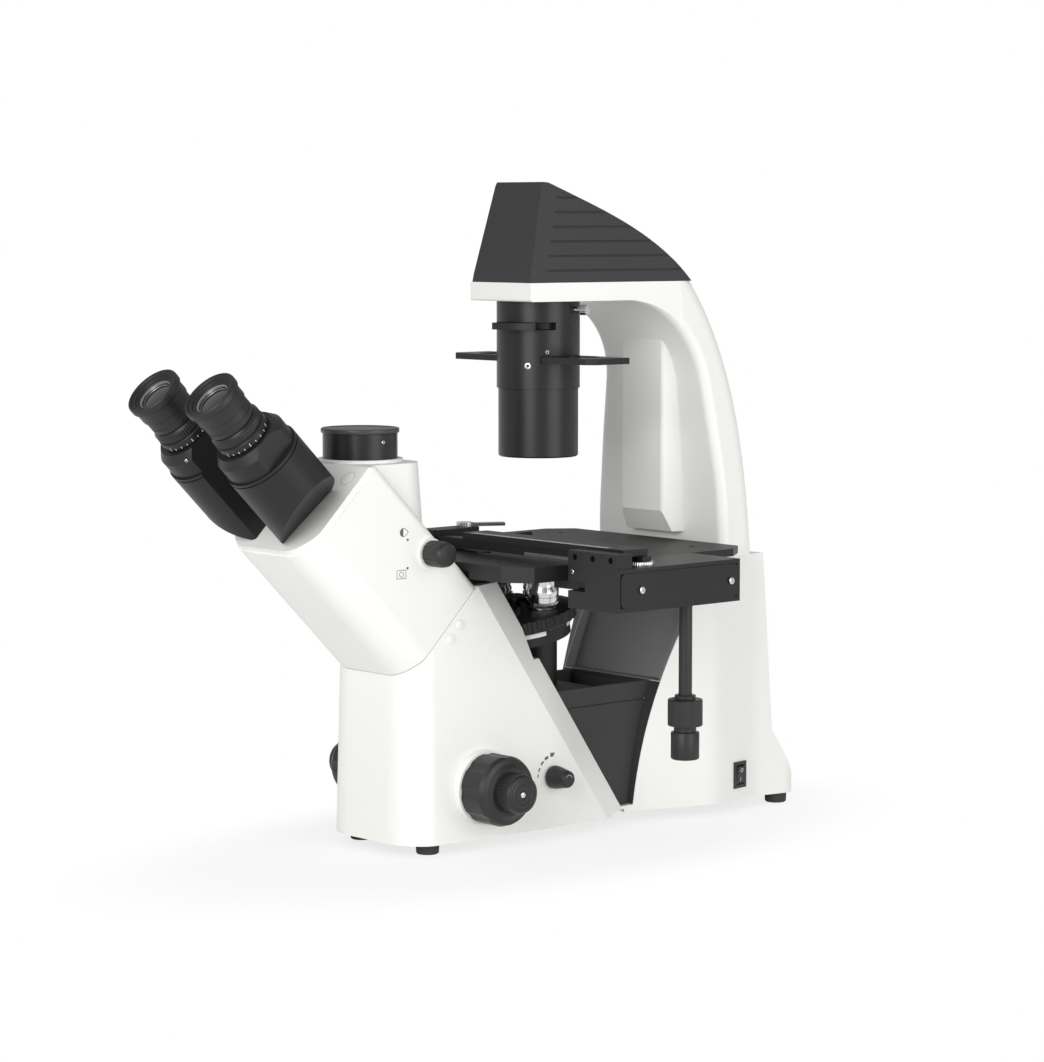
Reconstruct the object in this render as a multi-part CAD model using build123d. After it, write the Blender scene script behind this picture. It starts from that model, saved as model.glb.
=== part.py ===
from build123d import *
import os
from math import acos, cos, degrees, pi, radians, sin, sqrt, tan

# Inverted laboratory microscope, in millimetres.
# The pieces are drawn about the optical axis: X to the user's right, Y to the back, Z up from the bench.
# At the end all of them move together, so that the origin is the middle of the footprint on the bench.

# Clearances
RUN = 0.05          # radial play of a shaft in its hole
GAP = 0.3           # play between pieces that move past each other
FIT = 0.1           # play round a piece that is set into another

# Stand casting
FOOT_H = 8.0
FOOT_R = 8.5
FRONT_FEET = (37.0, -138.0)
REAR_FEET = (57.0, 194.0)
WALL = 9.0
DRAFT = 1.5
FRONT_Y = -166.0
FRONT_HALF = 52.0
FRONT_FLANK_GROWTH = 0.033
SEAM_RISE = 289.0            # the head's seat is the plane z = y + SEAM_RISE
BODY_TOP = 188.0
NOTCH_TOP_Y = -74.0
NOTCH_FOOT_Y = 40.0
NOTCH_FLOOR = 13.0
BEVEL_FOOT = (57.5, 17.0)
BEVEL_INSET = 10.5
BRIDGE_HALF = 46.5
COLUMN_TOP = 194.0
COLUMN_FRONT = 122.0
COLUMN_HALF = 67.5
COLUMN_CREASE_Y = 119.0
COLUMN_REAR = 172.0
COLUMN_REAR_HALF = 62.0
HEEL_Y = 207.0
HEEL_HALF = 71.0
HEEL_TOP = 58.0
COVER_T = 2.5
LINER_TOP = 104.0
LINER_HALF = 42.0
PLUGS = ((-118.0, 162.0), (-126.5, 152.5))

# Illumination arm and lamp house
ARM_UNDERSIDE = 386.5
ARM_T = 13.5
ARM_TOP = ARM_UNDERSIDE + ARM_T
ARM_NOSE_Y = -37.0
ARM_NOSE_HALF = 33.0
ARM_BEND_R = 70.0
ARM_HALF_FOOT = 69.0
ARM_HALF_TOP = 48.0
ARM_EDGE_R = 7.0
ARM_BACK_R = 14.0
SPINE_HALF = 22.0
SPINE_Y = 105.0
SPINE_EDGE_R = 3.0
CAP_H = 75.5
CAP_TOP = ARM_TOP + CAP_H
CAP_DRAFT = 7.0
LOUVRE_COUNT = 6
LOUVRE_H = 1.6
LOUVRE_DEPTH = 1.4

# Condenser
COND_R = 30.5
COND_TUBE_R = 29.3
COND_BORE_R = 24.0
COND_L = 113.8
COND_STEP = 63.5
COND_STEP_Z = ARM_UNDERSIDE - COND_STEP
COND_FOOT_Z = ARM_UNDERSIDE - COND_L
SLIDER_L = 154.0
SLIDER_W = 38.0
SLIDER_T = 4.5
SLIDER_DROP = 44.5
SLIDER_Z = ARM_UNDERSIDE - SLIDER_DROP
LEVER_DROP = 20.5
LEVER_Z = ARM_UNDERSIDE - LEVER_DROP
LEVER_T = 5.0
LEVER_R = 40.0
LEVER_AIM = -72.0
LEVER_SWING = 25.0
LEVER_SPREAD = 27.0
CLAMP_DROP = 6.5
CLAMP_Z = ARM_UNDERSIDE - CLAMP_DROP

# Viewing head, drawn along its inclined axis: x across, y up the back, z out towards the eyes
HEAD_HALF = 48.0
HEAD_CHIN = -25.0
HEAD_BACK = 62.0
HEAD_L = 126.65
HEAD_FACE = SEAM_RISE / sqrt(2) + HEAD_L
FACE_T = 4.5
PORT_Y = -167.5
PORT_R = 26.3
PORT_BORE_R = 19.0
PORT_DECK = (HEAD_BACK + HEAD_FACE) / sqrt(2) - 0.9
PORT_TUBE_L = 20.0
PORT_TUBE_TOP = PORT_DECK + PORT_TUBE_L
PORT_CAP_R = 27.6
PORT_CAP_T = 3.4
LIGHT_KNOB = (-145.0, 214.5)
LIGHT_KNOB_R = 9.2
LIGHT_KNOB_L = 18.0
PRISM = 24.0

# Binocular tubes
EYE_SPACING = 65.0
EYE_ARM = 37.5
HUB_V = 25.4
HUB_R = 14.0
HUB_PIN_R = 8.0
TUBE_R = 28.0
TUBE_FLAT = 18.0
TUBE_L = 66.0
TUBE_TOP = HEAD_FACE + FACE_T + TUBE_L
TUBE_PLATE = 7.5
COLLAR_L = 18.5
COLLAR_TOP = TUBE_TOP + COLLAR_L
COLLAR_R = 26.5
DIOPTER_R = 19.3
DIOPTER_L = 14.5
DIOPTER_TOP = COLLAR_TOP + DIOPTER_L
EYECUP_R = 20.0
EYE_L = 26.9
EYE_TOP = DIOPTER_TOP + EYE_L
EYE_BARREL_R = 17.5

# Focus drive
FOCUS_Y = -100.0
FOCUS_Z = 45.0
FOCUS_PER_TURN = 37.5
PINION_TEETH = 16
COARSE_SHAFT_R = 4.5
FINE_SHAFT_R = 2.5
FLANGE_R = 26.5
FLANGE_X = 58.0
COARSE_R = 25.0
COARSE_L = 25.0
FINE_R = 14.2
FINE_L = 13.0
TENSION_R = 24.0
TENSION_L = 10.0

# Nosepiece
TURRET_Y = -24.0
TURRET_DROP = 31.0
TURRET_Z = BODY_TOP - TURRET_DROP
TURRET_TILT = 10.0
TURRET_R = 46.0
TURRET_T = 13.0
TURRET_PLACES = 5
TURRET_FLUTES = 40
NOSE_TUBE_R = 14.0
NOSE_BORE_R = 11.0
NOSE_TUBE_FOOT = 62.0
WORKING_GAP = 6.0
OBJECTIVE_R = 11.5

# Stage
STAGE_RISE = 17.0
STAGE_TOP = BODY_TOP + STAGE_RISE
OBJECTIVE_TIP = STAGE_TOP - WORKING_GAP
STAGE_T = 5.5
STAGE_RIM_T = 11.0
STAGE_HALF_X = 103.0
STAGE_FRONT = -110.0
STAGE_BACK = 119.0
STAGE_CORNER = (19.0, 14.0)
STAGE_HOLE_R = 55.0
STAGE_TAP_R = 2.1
STAGE_HOLES = ((-72.0, 88.0), (72.0, 88.0), (-60.0, -90.0), (60.0, -90.0))
INSERT_T = 3.0
INSERT_RELIEF = 1.2
INSERT_RIM = 5.0
INSERT_HOLE_R = 12.5
GUIDE_HALF = 62.0
GUIDE_IN = 17.0
GUIDE_OUT = 9.0
BOX_LEFT = 117.0
BOX_RIGHT = 167.0
BOX_FRONT = -77.0
BOX_REAR = 42.0
BOX_H = 30.0
BOX_TOP = STAGE_TOP + 2.0
BOX_BOTTOM = BOX_TOP - BOX_H
BOX_FRONT_RISE = 10.3
BAR_LEFT = -14.0
BAR_RIGHT = 157.0
BAR_FRONT = -62.0
BAR_W = 24.0
BAR_T = 5.0
BAR_RAIL = 7.0
BAR_RAIL_W = 12.0
END_SCREW_R = 1.2
CLAMP_NUT = (153.0, -43.5)
CLAMP_NUT_R = 10.3
CLAMP_NUT_T = 3.2
HOLDER_H = 13.0
ROD_X = 143.0
ROD_Y = 12.0
ROD_R = 4.8
Y_KNOB_R = 12.5
X_KNOB_R = 10.2
STAGE_MODULE = 1.0
Y_TEETH = 20
ROD_L = 89.0
KNOB_JOINT = BOX_BOTTOM - ROD_L      # height at which the two drop knobs meet

# Controls
BRIGHT_Y = -34.4
BRIGHT_Z = 45.0
BRIGHT_R = 8.3
BRIGHT_L = 16.0
CAVITY_HALF = FRONT_HALF - WALL - 4.0
SWITCH_Y = 147.0
SWITCH_Z = 27.0
SWITCH_W = 14.0
SWITCH_H = 20.0
ROCKER_PIN_R = 0.9
INLET_Z = 84.0

HEAD = Plane(origin=(0, 0, 0), x_dir=(1, 0, 0), z_dir=(0, -1, 1))
VIEW_N = (0.664, 0.748)      # plan direction of the arm's rear corner facets


# Shared shapes
def outline(points, radii):
    """Closed face with straight sides and rounded corners."""
    return make_face(FilletPolyline(*points, radius=radii, close=True))


def side_prism(points, radii, half):
    """Prism across X from an outline given in (y, z)."""
    return extrude(Plane.YZ * outline(points, radii), half, both=True)


def plan_prism(points, radii, z, height, taper=0.0):
    """Upright prism from an outline given in (x, y)."""
    return extrude(Pos(0, 0, z) * outline(points, radii), height, taper=taper)


def mirrored(points):
    """Right-hand points (x, y), front to back, completed to a whole outline."""
    return points + [(-x, y) for x, y in reversed(points)]


def disc(r, z0, z1):
    """Upright cylinder between two heights."""
    return Pos(0, 0, (z0 + z1) / 2) * Cylinder(r, z1 - z0)


def turned(points):
    """Solid of revolution about Z from an outline given in (radius, z)."""
    return revolve(Plane.XZ * make_face(Polyline(*points, close=True)), Axis.Z)


def along_x(part, x, y, z):
    """Carry a piece drawn along Z so that it points along +X from the place given."""
    return Pos(x, y, z) * Rot(0, 90, 0) * part


def slab(x0, x1, y0, y1, z0, z1):
    """Block between two corners."""
    return Pos((x0 + x1) / 2, (y0 + y1) / 2, (z0 + z1) / 2) * Box(x1 - x0, y1 - y0, z1 - z0)


def fluted(r, z0, z1, count, flute_r, bite):
    """Round grip with shallow flutes along it."""
    cuts = [p * disc(flute_r, z0, z1) for p in PolarLocations(r + flute_r - bite, count)]
    return disc(r, z0, z1) - cuts


def gear(teeth, module, z0, z1):
    """Pinion with straight-sided teeth, thinned for backlash."""
    pitch_r = teeth * module / 2
    root = pitch_r - 1.15 * module
    tip = pitch_r + 0.75 * module
    tooth = Polyline((root - 0.3, -0.75 * module), (root, -0.75 * module), (tip, -0.3 * module),
                     (tip, 0.3 * module), (root, 0.75 * module), (root - 0.3, 0.75 * module), close=True)
    blank = Pos(0, 0, z0) * extrude(make_face(tooth), z1 - z0)
    return disc(root, z0, z1) + [p * blank for p in PolarLocations(0, teeth)]


def rack(teeth, module, width, back):
    """Rack along Y with its teeth towards -X: pitch line at x = 0, a gap between teeth at y = 0."""
    pitch = pi * module
    length = teeth * pitch
    bar = slab(1.1 * module, back, -length / 2, length / 2, 0, width)
    tooth = Polyline((1.1 * module, -0.65 * module), (-0.7 * module, -0.3 * module),
                     (-0.7 * module, 0.3 * module), (1.1 * module, 0.65 * module),
                     (1.3 * module, 0.65 * module), (1.3 * module, -0.65 * module), close=True)
    blank = extrude(make_face(tooth), width)
    half = teeth // 2
    places = [Pos(0, (i + 0.5) * pitch, 0) for i in range(-half, half)]
    return bar + [p * blank for p in places]


def polar(r, angle):
    """Point at a radius and an angle in degrees."""
    return (r * cos(radians(angle)), r * sin(radians(angle)))


def flank_x(y, z):
    """Half-width of the front body's drafted flank."""
    return FRONT_HALF + (y + 149.0) * FRONT_FLANK_GROWTH - (z - FOOT_H) * tan(radians(DRAFT))


def notch_y(z):
    """The front wall of the notch at a height."""
    fall = (NOTCH_FOOT_Y - NOTCH_TOP_Y) / (BODY_TOP - NOTCH_FLOOR)
    return NOTCH_TOP_Y + (BODY_TOP - z) * fall


# Stand casting and its covers
def front_plan():
    back_y = NOTCH_FOOT_Y + 8.0
    back_half = FRONT_HALF + (back_y + 149.0) * FRONT_FLANK_GROWTH
    points = mirrored([(34.0, FRONT_Y + 2.0), (FRONT_HALF, -149.0), (back_half, back_y)])
    return points, [30.0, 16.0, 0.0, 0.0, 16.0, 30.0]


def rear_plan():
    points = mirrored([(BRIDGE_HALF, 48.0), (50.0, 62.0), (COLUMN_HALF, COLUMN_CREASE_Y),
                       (COLUMN_REAR_HALF, 165.0), (HEEL_HALF, HEEL_Y)])
    return points, [0.0, 8.0, 30.0, 30.0, 12.0, 12.0, 30.0, 30.0, 8.0, 0.0]


def column_front_curve():
    return ThreePointArc((52.0, NOTCH_FLOOR), (74.0, LINER_TOP), (COLUMN_FRONT, COLUMN_TOP))


def front_body():
    side = [(FRONT_Y - 10, FOOT_H), (FRONT_Y - 10, FRONT_Y - 10 + SEAM_RISE),
            (BODY_TOP - SEAM_RISE, BODY_TOP), (NOTCH_TOP_Y, BODY_TOP),
            (NOTCH_FOOT_Y, NOTCH_FLOOR), (NOTCH_FOOT_Y, FOOT_H)]
    points, radii = front_plan()
    body = plan_prism(points, radii, FOOT_H, 200.0, DRAFT) & side_prism(side, 0.0, 90.0)
    top = Vector(flank_x(-101.0, BODY_TOP), BODY_TOP - SEAM_RISE, BODY_TOP)
    foot = Vector(BEVEL_FOOT[0], BEVEL_FOOT[1], FOOT_H)
    inner = Vector(BEVEL_FOOT[0] - BEVEL_INSET, NOTCH_FOOT_Y, NOTCH_FLOOR)
    normal = (foot - top).cross(inner - foot)
    face = Plane(origin=foot, x_dir=top - foot, z_dir=normal)
    if face.z_dir.X < 0:
        face = Plane(origin=foot, x_dir=top - foot, z_dir=-face.z_dir)
    bevel = extrude(face * Rectangle(600, 300), 60)
    return body - bevel - mirror(bevel, Plane.YZ)


def rear_body():
    edge = column_front_curve()
    side = edge + Polyline((COLUMN_FRONT, COLUMN_TOP), (COLUMN_REAR, COLUMN_TOP),
                           (COLUMN_REAR + 9.0, HEEL_TOP), (HEEL_Y, FOOT_H + 6.0), (HEEL_Y, FOOT_H),
                           (46.0, FOOT_H), (46.0, NOTCH_FLOOR), (52.0, NOTCH_FLOOR))
    points, radii = rear_plan()
    body = plan_prism(points, radii, FOOT_H, 190.0)
    return body & extrude(Plane.YZ * make_face(side), 90.0, both=True)


def base_plan():
    front, front_radii = front_plan()
    rear, rear_radii = rear_plan()
    bridge = Pos(0, 45) * Rectangle(2 * BRIDGE_HALF, 40)
    return outline(front, front_radii) + outline(rear, rear_radii) + bridge


def liner_wedge(inset, half, top):
    """Wedge that fills the notch below a height."""
    low = NOTCH_FLOOR + inset
    points = [(notch_y(top) + inset, top), (74.0 - inset, top), (52.5 - inset, low),
              (notch_y(low) + inset, low)]
    return side_prism(points, 0.0, half)


def recess_y(z):
    """Front face of the column's liner at a height."""
    return 84.0 + (z - LINER_TOP) * 0.4


def column_recess(depth):
    """Hollow in the front of the column, behind the edges of its flanks."""
    points = [(60.0, LINER_TOP), (recess_y(LINER_TOP) + depth, LINER_TOP),
              (recess_y(COLUMN_TOP + 2) + depth, COLUMN_TOP + 2), (60.0, COLUMN_TOP + 2)]
    return side_prism(points, 0.0, 52.0)


def main_casting():
    body = front_body() + rear_body() + slab(-BRIDGE_HALF, BRIDGE_HALF, 25, 65, FOOT_H, NOTCH_FLOOR)
    recess = extrude(Pos(0, 0, FOOT_H) * offset(base_plan(), -4.0), COVER_T)
    roof = BODY_TOP - WALL - 15.0
    hollow = side_prism([(FRONT_Y + WALL + 6, FOOT_H), (FRONT_Y + WALL + 6, 112.0),
                         (roof - SEAM_RISE + 2 * WALL, roof), (notch_y(roof) - WALL - 3, roof),
                         (notch_y(FOOT_H) - WALL - 3, FOOT_H)], 0.0, CAVITY_HALF)
    rear_hollow = side_prism([(72.0, FOOT_H), (98.0, LINER_TOP), (136.0, COLUMN_TOP - 8),
                              (COLUMN_REAR - WALL, COLUMN_TOP - 8), (COLUMN_REAR, HEEL_TOP),
                              (HEEL_Y - 16, FOOT_H)], 0.0, 46.0)
    hollow_low = slab(-30, 30, 20, 80, FOOT_H, FOOT_H + COVER_T)
    turret_room = Pos(0, TURRET_Y, 0) * disc(TURRET_R + 2.5, LINER_TOP + 26, BODY_TOP + 1)
    slide_room = slab(-26, 26, -27, NOSE_TUBE_R + 2, 40, 110)
    beam_way = HEAD.location * Pos(0, HUB_V, 150) * Cylinder(17.0, 120)
    shaft_way = along_x(disc(FLANGE_R + FIT, -90, 90), 0, FOCUS_Y, FOCUS_Z)
    knob_way = along_x(disc(4.2, 30, 90), 0, BRIGHT_Y, BRIGHT_Z)
    plug_ways = [along_x(disc(3.0, x0, x1), 0, y, z) for y, z in PLUGS for x0, x1 in ((40, 60), (-60, -40))]
    switch_way = switch_plane().location * Box(SWITCH_W - 2, SWITCH_H - 2, 80)
    inlet_way = rear_plane().location * Pos(0, 0, -10) * Box(27.2, 20.2, 30)
    cuts = [recess, hollow, rear_hollow, hollow_low, turret_room, slide_room, beam_way, shaft_way]
    cuts += [knob_way, switch_way, inlet_way, column_recess(3.0)] + plug_ways
    return body - cuts


def casting_plugs():
    dome = turned([(0, -3), (2.95, -3), (2.95, 0), (3.6, 0), (3.0, 0.9), (0, 1.2)])
    right = [along_x(dome, flank_x(y, z) + 0.3, y, z) for y, z in PLUGS]
    return right + [mirror(p, Plane.YZ) for p in right]


def bottom_cover():
    plate = extrude(Pos(0, 0, FOOT_H) * offset(base_plan(), -4.0 - FIT), COVER_T)
    vents = [slab(-24, 24, y, y + 4, 0, 20) for y in range(96, 160, 10)]
    return plate - vents


def rubber_feet():
    foot = turned([(0, 0), (FOOT_R - 1.2, 0), (FOOT_R - 0.4, 0.8), (FOOT_R, FOOT_H), (0, FOOT_H)])
    places = [(s * x, y, 0) for x, y in (FRONT_FEET, REAR_FEET) for s in (-1, 1)]
    return [Pos(*p) * foot for p in places]


def notch_liner():
    body = liner_wedge(0.2, LINER_HALF, LINER_TOP)
    rim_cut = slab(-90, 90, -60, 100, LINER_TOP - 14.0, LINER_TOP - 13.0)
    body -= rim_cut - slab(-LINER_HALF + 1, LINER_HALF - 1, -60, 100, 0, 200)
    trough = slab(-LINER_HALF + 4, LINER_HALF - 4, 20, 68, 68, LINER_TOP + 1)
    trough &= liner_wedge(4.5, LINER_HALF, LINER_TOP + 4)
    return body - trough - disc(NOSE_TUBE_R + RUN, 20, 200) - Pos(0, -0.2, 0) * rear_body()


def column_liner():
    shell = column_recess(3.0) & side_prism([(60, LINER_TOP + 0.2), (140, LINER_TOP + 0.2),
                                             (140, COLUMN_TOP - 0.2), (60, COLUMN_TOP - 0.2)], 0.0, 51.8)
    return shell - column_recess(0.0) - slab(-60, 60, 60, 80, 100, 200)


# Illumination arm and lamp house
def corner_facet(knots, low, high):
    """Bound of both rear corners: the outline's furthest reach along VIEW_N at each height."""
    curve = Spline(*knots)
    shape = curve + Polyline(knots[-1], (knots[-1][0], high), (-400, high), (-400, low),
                             (knots[0][0], low), knots[0])
    right = Plane(origin=(0, 0, 0), x_dir=(VIEW_N[0], VIEW_N[1], 0), z_dir=(VIEW_N[1], -VIEW_N[0], 0))
    prism = extrude(right * make_face(shape), 300, both=True)
    return prism & mirror(prism, Plane.YZ)


def arm_plan():
    return mirrored([(ARM_NOSE_HALF, ARM_NOSE_Y), (ARM_HALF_TOP + 0.3, 100.0), (80.0, 100.5), (80.0, 190.0)])


def arm_z(share):
    """Height at a share of the way up the arm."""
    return COLUMN_TOP + share * (ARM_TOP - COLUMN_TOP)


def arm_side():
    rear = Spline((COLUMN_REAR, COLUMN_TOP), (163.4, arm_z(0.374)), (152.0, arm_z(0.728)), (123.0, ARM_TOP))
    front = FilletPolyline((ARM_NOSE_Y, ARM_TOP), (ARM_NOSE_Y, ARM_UNDERSIDE),
                           (COLUMN_FRONT - 10, ARM_UNDERSIDE), (COLUMN_FRONT, arm_z(0.272)),
                           (COLUMN_FRONT + 1, COLUMN_TOP),
                           radius=[2.0, ARM_BEND_R, 300.0])
    return make_face(rear + front + Line((ARM_NOSE_Y, ARM_TOP), (123.0, ARM_TOP))
                     + Line((COLUMN_FRONT + 1, COLUMN_TOP), (COLUMN_REAR, COLUMN_TOP)))


def arm_front():
    spread = ARM_HALF_FOOT - ARM_HALF_TOP
    right = Spline((ARM_HALF_FOOT, COLUMN_TOP), (ARM_HALF_TOP + 0.786 * spread, arm_z(0.36)),
                   (ARM_HALF_TOP + 0.262 * spread, arm_z(0.7)), (ARM_HALF_TOP, ARM_TOP))
    left = mirror(right, Plane.YZ)
    return make_face(right + left + Line((-ARM_HALF_FOOT, COLUMN_TOP), (ARM_HALF_FOOT, COLUMN_TOP))
                     + Line((-ARM_HALF_TOP, ARM_TOP), (ARM_HALF_TOP, ARM_TOP)))


def arm_inner_edges(body):
    """Edges where the arm's flanks meet its underside and its front."""
    middles = [(e, e @ 0.5) for e in body.edges()]
    return [e for e, m in middles if abs(m.X) > ARM_HALF_TOP - 5 and COLUMN_TOP + 1 < m.Z < ARM_TOP - 1
            and ARM_NOSE_Y + 3 < m.Y < COLUMN_FRONT + 2]


def arm_back_edges(body):
    """Long upright edges between the facets of the arm's back."""
    boxes = [(e, e.bounding_box()) for e in body.edges()]
    return [e for e, b in boxes if b.size.Z > (ARM_TOP - COLUMN_TOP) / 2 and b.max.Y > COLUMN_FRONT + 25]


def arm_spine():
    """Raised rib down the middle of the arm's front, cut back at its toe."""
    foot = COLUMN_TOP + 17
    plan = mirrored([(SPINE_HALF, SPINE_Y), (SPINE_HALF + 7, SPINE_Y + 23)])
    rib = plan_prism(plan, 0.0, foot, 150.0)
    rib = fillet(rib.edges().filter_by(Axis.Z).group_by(Axis.Y)[0], SPINE_EDGE_R)
    toe = side_prism([(SPINE_Y - 15, foot - 11), (SPINE_Y + 8.5, foot - 11), (SPINE_Y + 8.5, foot),
                      (SPINE_Y, foot + 16), (SPINE_Y - 15, foot + 16)], 0.0, SPINE_HALF + 18)
    return rib - toe


def illumination_arm():
    body = extrude(Plane.YZ * arm_side(), 90, both=True)
    body &= extrude(Plane.XZ.offset(-300) * arm_front(), 600)
    body = fillet(arm_inner_edges(body), ARM_EDGE_R)
    body &= plan_prism(arm_plan(), 0.0, COLUMN_TOP - 1, 300)
    reach = [(160.0, 0.0), (153.0, 0.374), (137.3, 0.728), (112.4, 1.0)]
    body &= corner_facet([(x, arm_z(share)) for x, share in reach], COLUMN_TOP - 4, ARM_TOP + 1)
    body = fillet(arm_back_edges(body), ARM_BACK_R)
    return body + arm_spine() - disc(COND_BORE_R, ARM_UNDERSIDE - 1, ARM_TOP + 1)


def lamp_shell(shrink):
    """Outer form of the lamp house cover, drawn in by an amount on every side face."""
    plan = mirrored([(ARM_NOSE_HALF - 1 - shrink, ARM_NOSE_Y + 1 + shrink),
                     (ARM_HALF_TOP - 0.5 - shrink, 95.0), (ARM_HALF_TOP - shrink, 125.0)])
    ridge = ARM_TOP + 0.96 * CAP_H
    high = ARM_TOP + 0.84 * CAP_H - shrink
    low = ARM_TOP + 0.563 * CAP_H - shrink
    roof = Spline((-20.0, ridge), (30.0, high), (75.0, low), (119.0, ARM_TOP))
    side = roof + Polyline((119.0, ARM_TOP), (-60.0, ARM_TOP), (-60.0, ridge), (-20.0, ridge))
    body = plan_prism(plan, 0.0, ARM_TOP, 80.0, CAP_DRAFT)
    body &= extrude(Plane.YZ * make_face(side), 90, both=True)
    lean = side_prism([(ARM_NOSE_Y + shrink, ARM_TOP - 1), (-18.0 + shrink, CAP_TOP),
                       (200, CAP_TOP), (200, ARM_TOP - 1)], [0, 9.0, 0, 0], 90)
    return body & lean


def lamp_house_cover():
    body = lamp_shell(0.0)
    reach = [(114.0, 0.0), (97.0, 0.25), (69.6, 0.525), (32.8, 0.79), (4.0, 0.974)]
    body &= corner_facet([(x, ARM_TOP + share * CAP_H) for x, share in reach], ARM_TOP - 1, CAP_TOP + 10)
    core = lamp_shell(LOUVRE_DEPTH)
    step = (CAP_TOP - ARM_TOP) / (LOUVRE_COUNT + 1.2)
    for i in range(LOUVRE_COUNT):
        z = ARM_TOP + (i + 0.75) * step
        lean = ARM_NOSE_Y + 14.0 + (z - ARM_TOP) * 0.27
        band = slab(-90, 90, lean, 200, z, z + LOUVRE_H) - core
        body -= band
    room = lamp_shell(6.0) & slab(-30, 30, -26, 30, ARM_TOP, ARM_TOP + CAP_H / 2)
    return body - room


def lamp_module():
    body = disc(22.0, ARM_TOP, ARM_TOP + 5)
    fins = [slab(-16, 16, y, y + 2, ARM_TOP + 5, ARM_TOP + 19) for y in range(-12, 14, 5)]
    return body + fins


def collector_lens():
    dome = turned([(0, ARM_UNDERSIDE + 5), (COND_BORE_R - FIT, ARM_UNDERSIDE + 5),
                   (COND_BORE_R - FIT, ARM_TOP), (0, ARM_TOP)])
    return dome


# Condenser
def condenser_body():
    outer = turned([(0, COND_FOOT_Z), (COND_TUBE_R - 1, COND_FOOT_Z), (COND_TUBE_R, COND_FOOT_Z + 1),
                    (COND_TUBE_R, COND_STEP_Z - 0.5), (COND_TUBE_R - 0.6, COND_STEP_Z - 0.5),
                    (COND_TUBE_R - 0.6, COND_STEP_Z), (COND_R, COND_STEP_Z), (COND_R, ARM_UNDERSIDE),
                    (0, ARM_UNDERSIDE)])
    bore = disc(COND_BORE_R, COND_FOOT_Z + 3, ARM_UNDERSIDE + 1)
    bore += disc(COND_BORE_R - 3, COND_FOOT_Z - 1, COND_FOOT_Z + 4)
    slot = slab(-40, 40, -SLIDER_W / 2 - GAP, SLIDER_W / 2 + GAP, SLIDER_Z - GAP, SLIDER_Z + SLIDER_T + GAP)
    reach = LEVER_SPREAD + LEVER_SWING + 3
    sector = Polyline((0, 0), polar(60, LEVER_AIM - reach), polar(90, LEVER_AIM),
                      polar(60, LEVER_AIM + reach), close=True)
    window = Pos(0, 0, LEVER_Z - GAP) * extrude(make_face(sector), LEVER_T + 2 * GAP)
    shelf = disc(COND_BORE_R, LEVER_Z - GAP - 2, LEVER_Z - GAP) - disc(COND_BORE_R - 5, 200, 500)
    screw_way = Rot(0, 0, 20) * along_x(disc(2.5, 20, 40), 0, 0, CLAMP_Z)
    return outer - bore - slot - window - screw_way + shelf


def aperture_lever():
    ring = disc(COND_BORE_R - GAP, LEVER_Z, LEVER_Z + LEVER_T) - disc(COND_BORE_R - 6, 200, 500)
    a0 = LEVER_AIM - LEVER_SPREAD
    a1 = LEVER_AIM + LEVER_SPREAD
    rim = ThreePointArc(polar(LEVER_R, a0), polar(LEVER_R, LEVER_AIM), polar(LEVER_R, a1))
    sides = Polyline(polar(LEVER_R, a1), polar(20, a1), polar(20, a0), polar(LEVER_R, a0))
    tab = make_face(rim + sides)
    return ring + Pos(0, 0, LEVER_Z) * extrude(tab, LEVER_T)


def phase_slider():
    half = SLIDER_L / 2
    edge = SLIDER_W / 2
    points = [(-half, -edge + 6), (-half + 6, -edge), (half - 6, -edge), (half, -edge + 6),
              (half, edge), (-half, edge)]
    plate = plan_prism(points, 0.0, SLIDER_Z, SLIDER_T)
    seats = [Pos(x, 0, 0) * disc(14.0, SLIDER_Z + SLIDER_T - 1.2, 500) for x in (-45.0, 45.0)]
    return plate - seats - disc(14.0, 200, 500)


def condenser_lens():
    return disc(COND_BORE_R - FIT, COND_FOOT_Z + 3, COND_FOOT_Z + 9)


def condenser_clamp():
    screw = disc(2.5, COND_R - 4, COND_R + 5) + fluted(4.0, COND_R + 5, COND_R + 10, 10, 1.2, 0.4)
    return Rot(0, 0, 20) * along_x(screw, 0, 0, CLAMP_Z)


# Viewing head
def head_section(half, chin, back):
    points = [(-half, back), (-half, chin + 17), (-half + 15, chin + 1), (half - 15, chin + 1),
              (half, chin + 17), (half, back)]
    return outline(points, [6.0, 16.0, 26.0, 26.0, 16.0, 6.0])


def seat_u():
    return SEAM_RISE / sqrt(2)


def port_block():
    points = [(-43, -218), (43, -218), (43, -130), (-43, -130)]
    block = plan_prism(points, [10.0, 10.0, 26.0, 26.0], 200.0, PORT_DECK - 200.0, 4.0)
    limit = HEAD.location * slab(-90, 90, -90, 200, seat_u(), HEAD_FACE)
    return block & limit


def prism_room():
    """Space in which the prism swings about the light-path shaft."""
    half = PRISM / 2 + 5
    low = HEAD.location * slab(-half, half, 4, 51, 216, 297)
    high = HEAD.location * slab(-half, half, 51, 71, 244, 297)
    return low + (high & slab(-90, 90, -300, -137.5, 0, 400))


def head_casting():
    length = HEAD_FACE - seat_u()
    block = Pos(0, 0, seat_u()) * extrude(head_section(HEAD_HALF, HEAD_CHIN, HEAD_BACK), length)
    body = HEAD.location * block + port_block()
    beam = HEAD.location * Pos(0, HUB_V, 0) * disc(17.0, 180, 340)
    port = Pos(0, PORT_Y, 0) * disc(PORT_BORE_R, 205, 300)
    y, z = LIGHT_KNOB
    shaft = along_x(disc(3.0 + RUN, 0, 90), 0, y, z)
    body &= slab(-90, 90, -300, 0, 0, PORT_DECK)
    return body - [beam, port, shaft, prism_room()]


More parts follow.
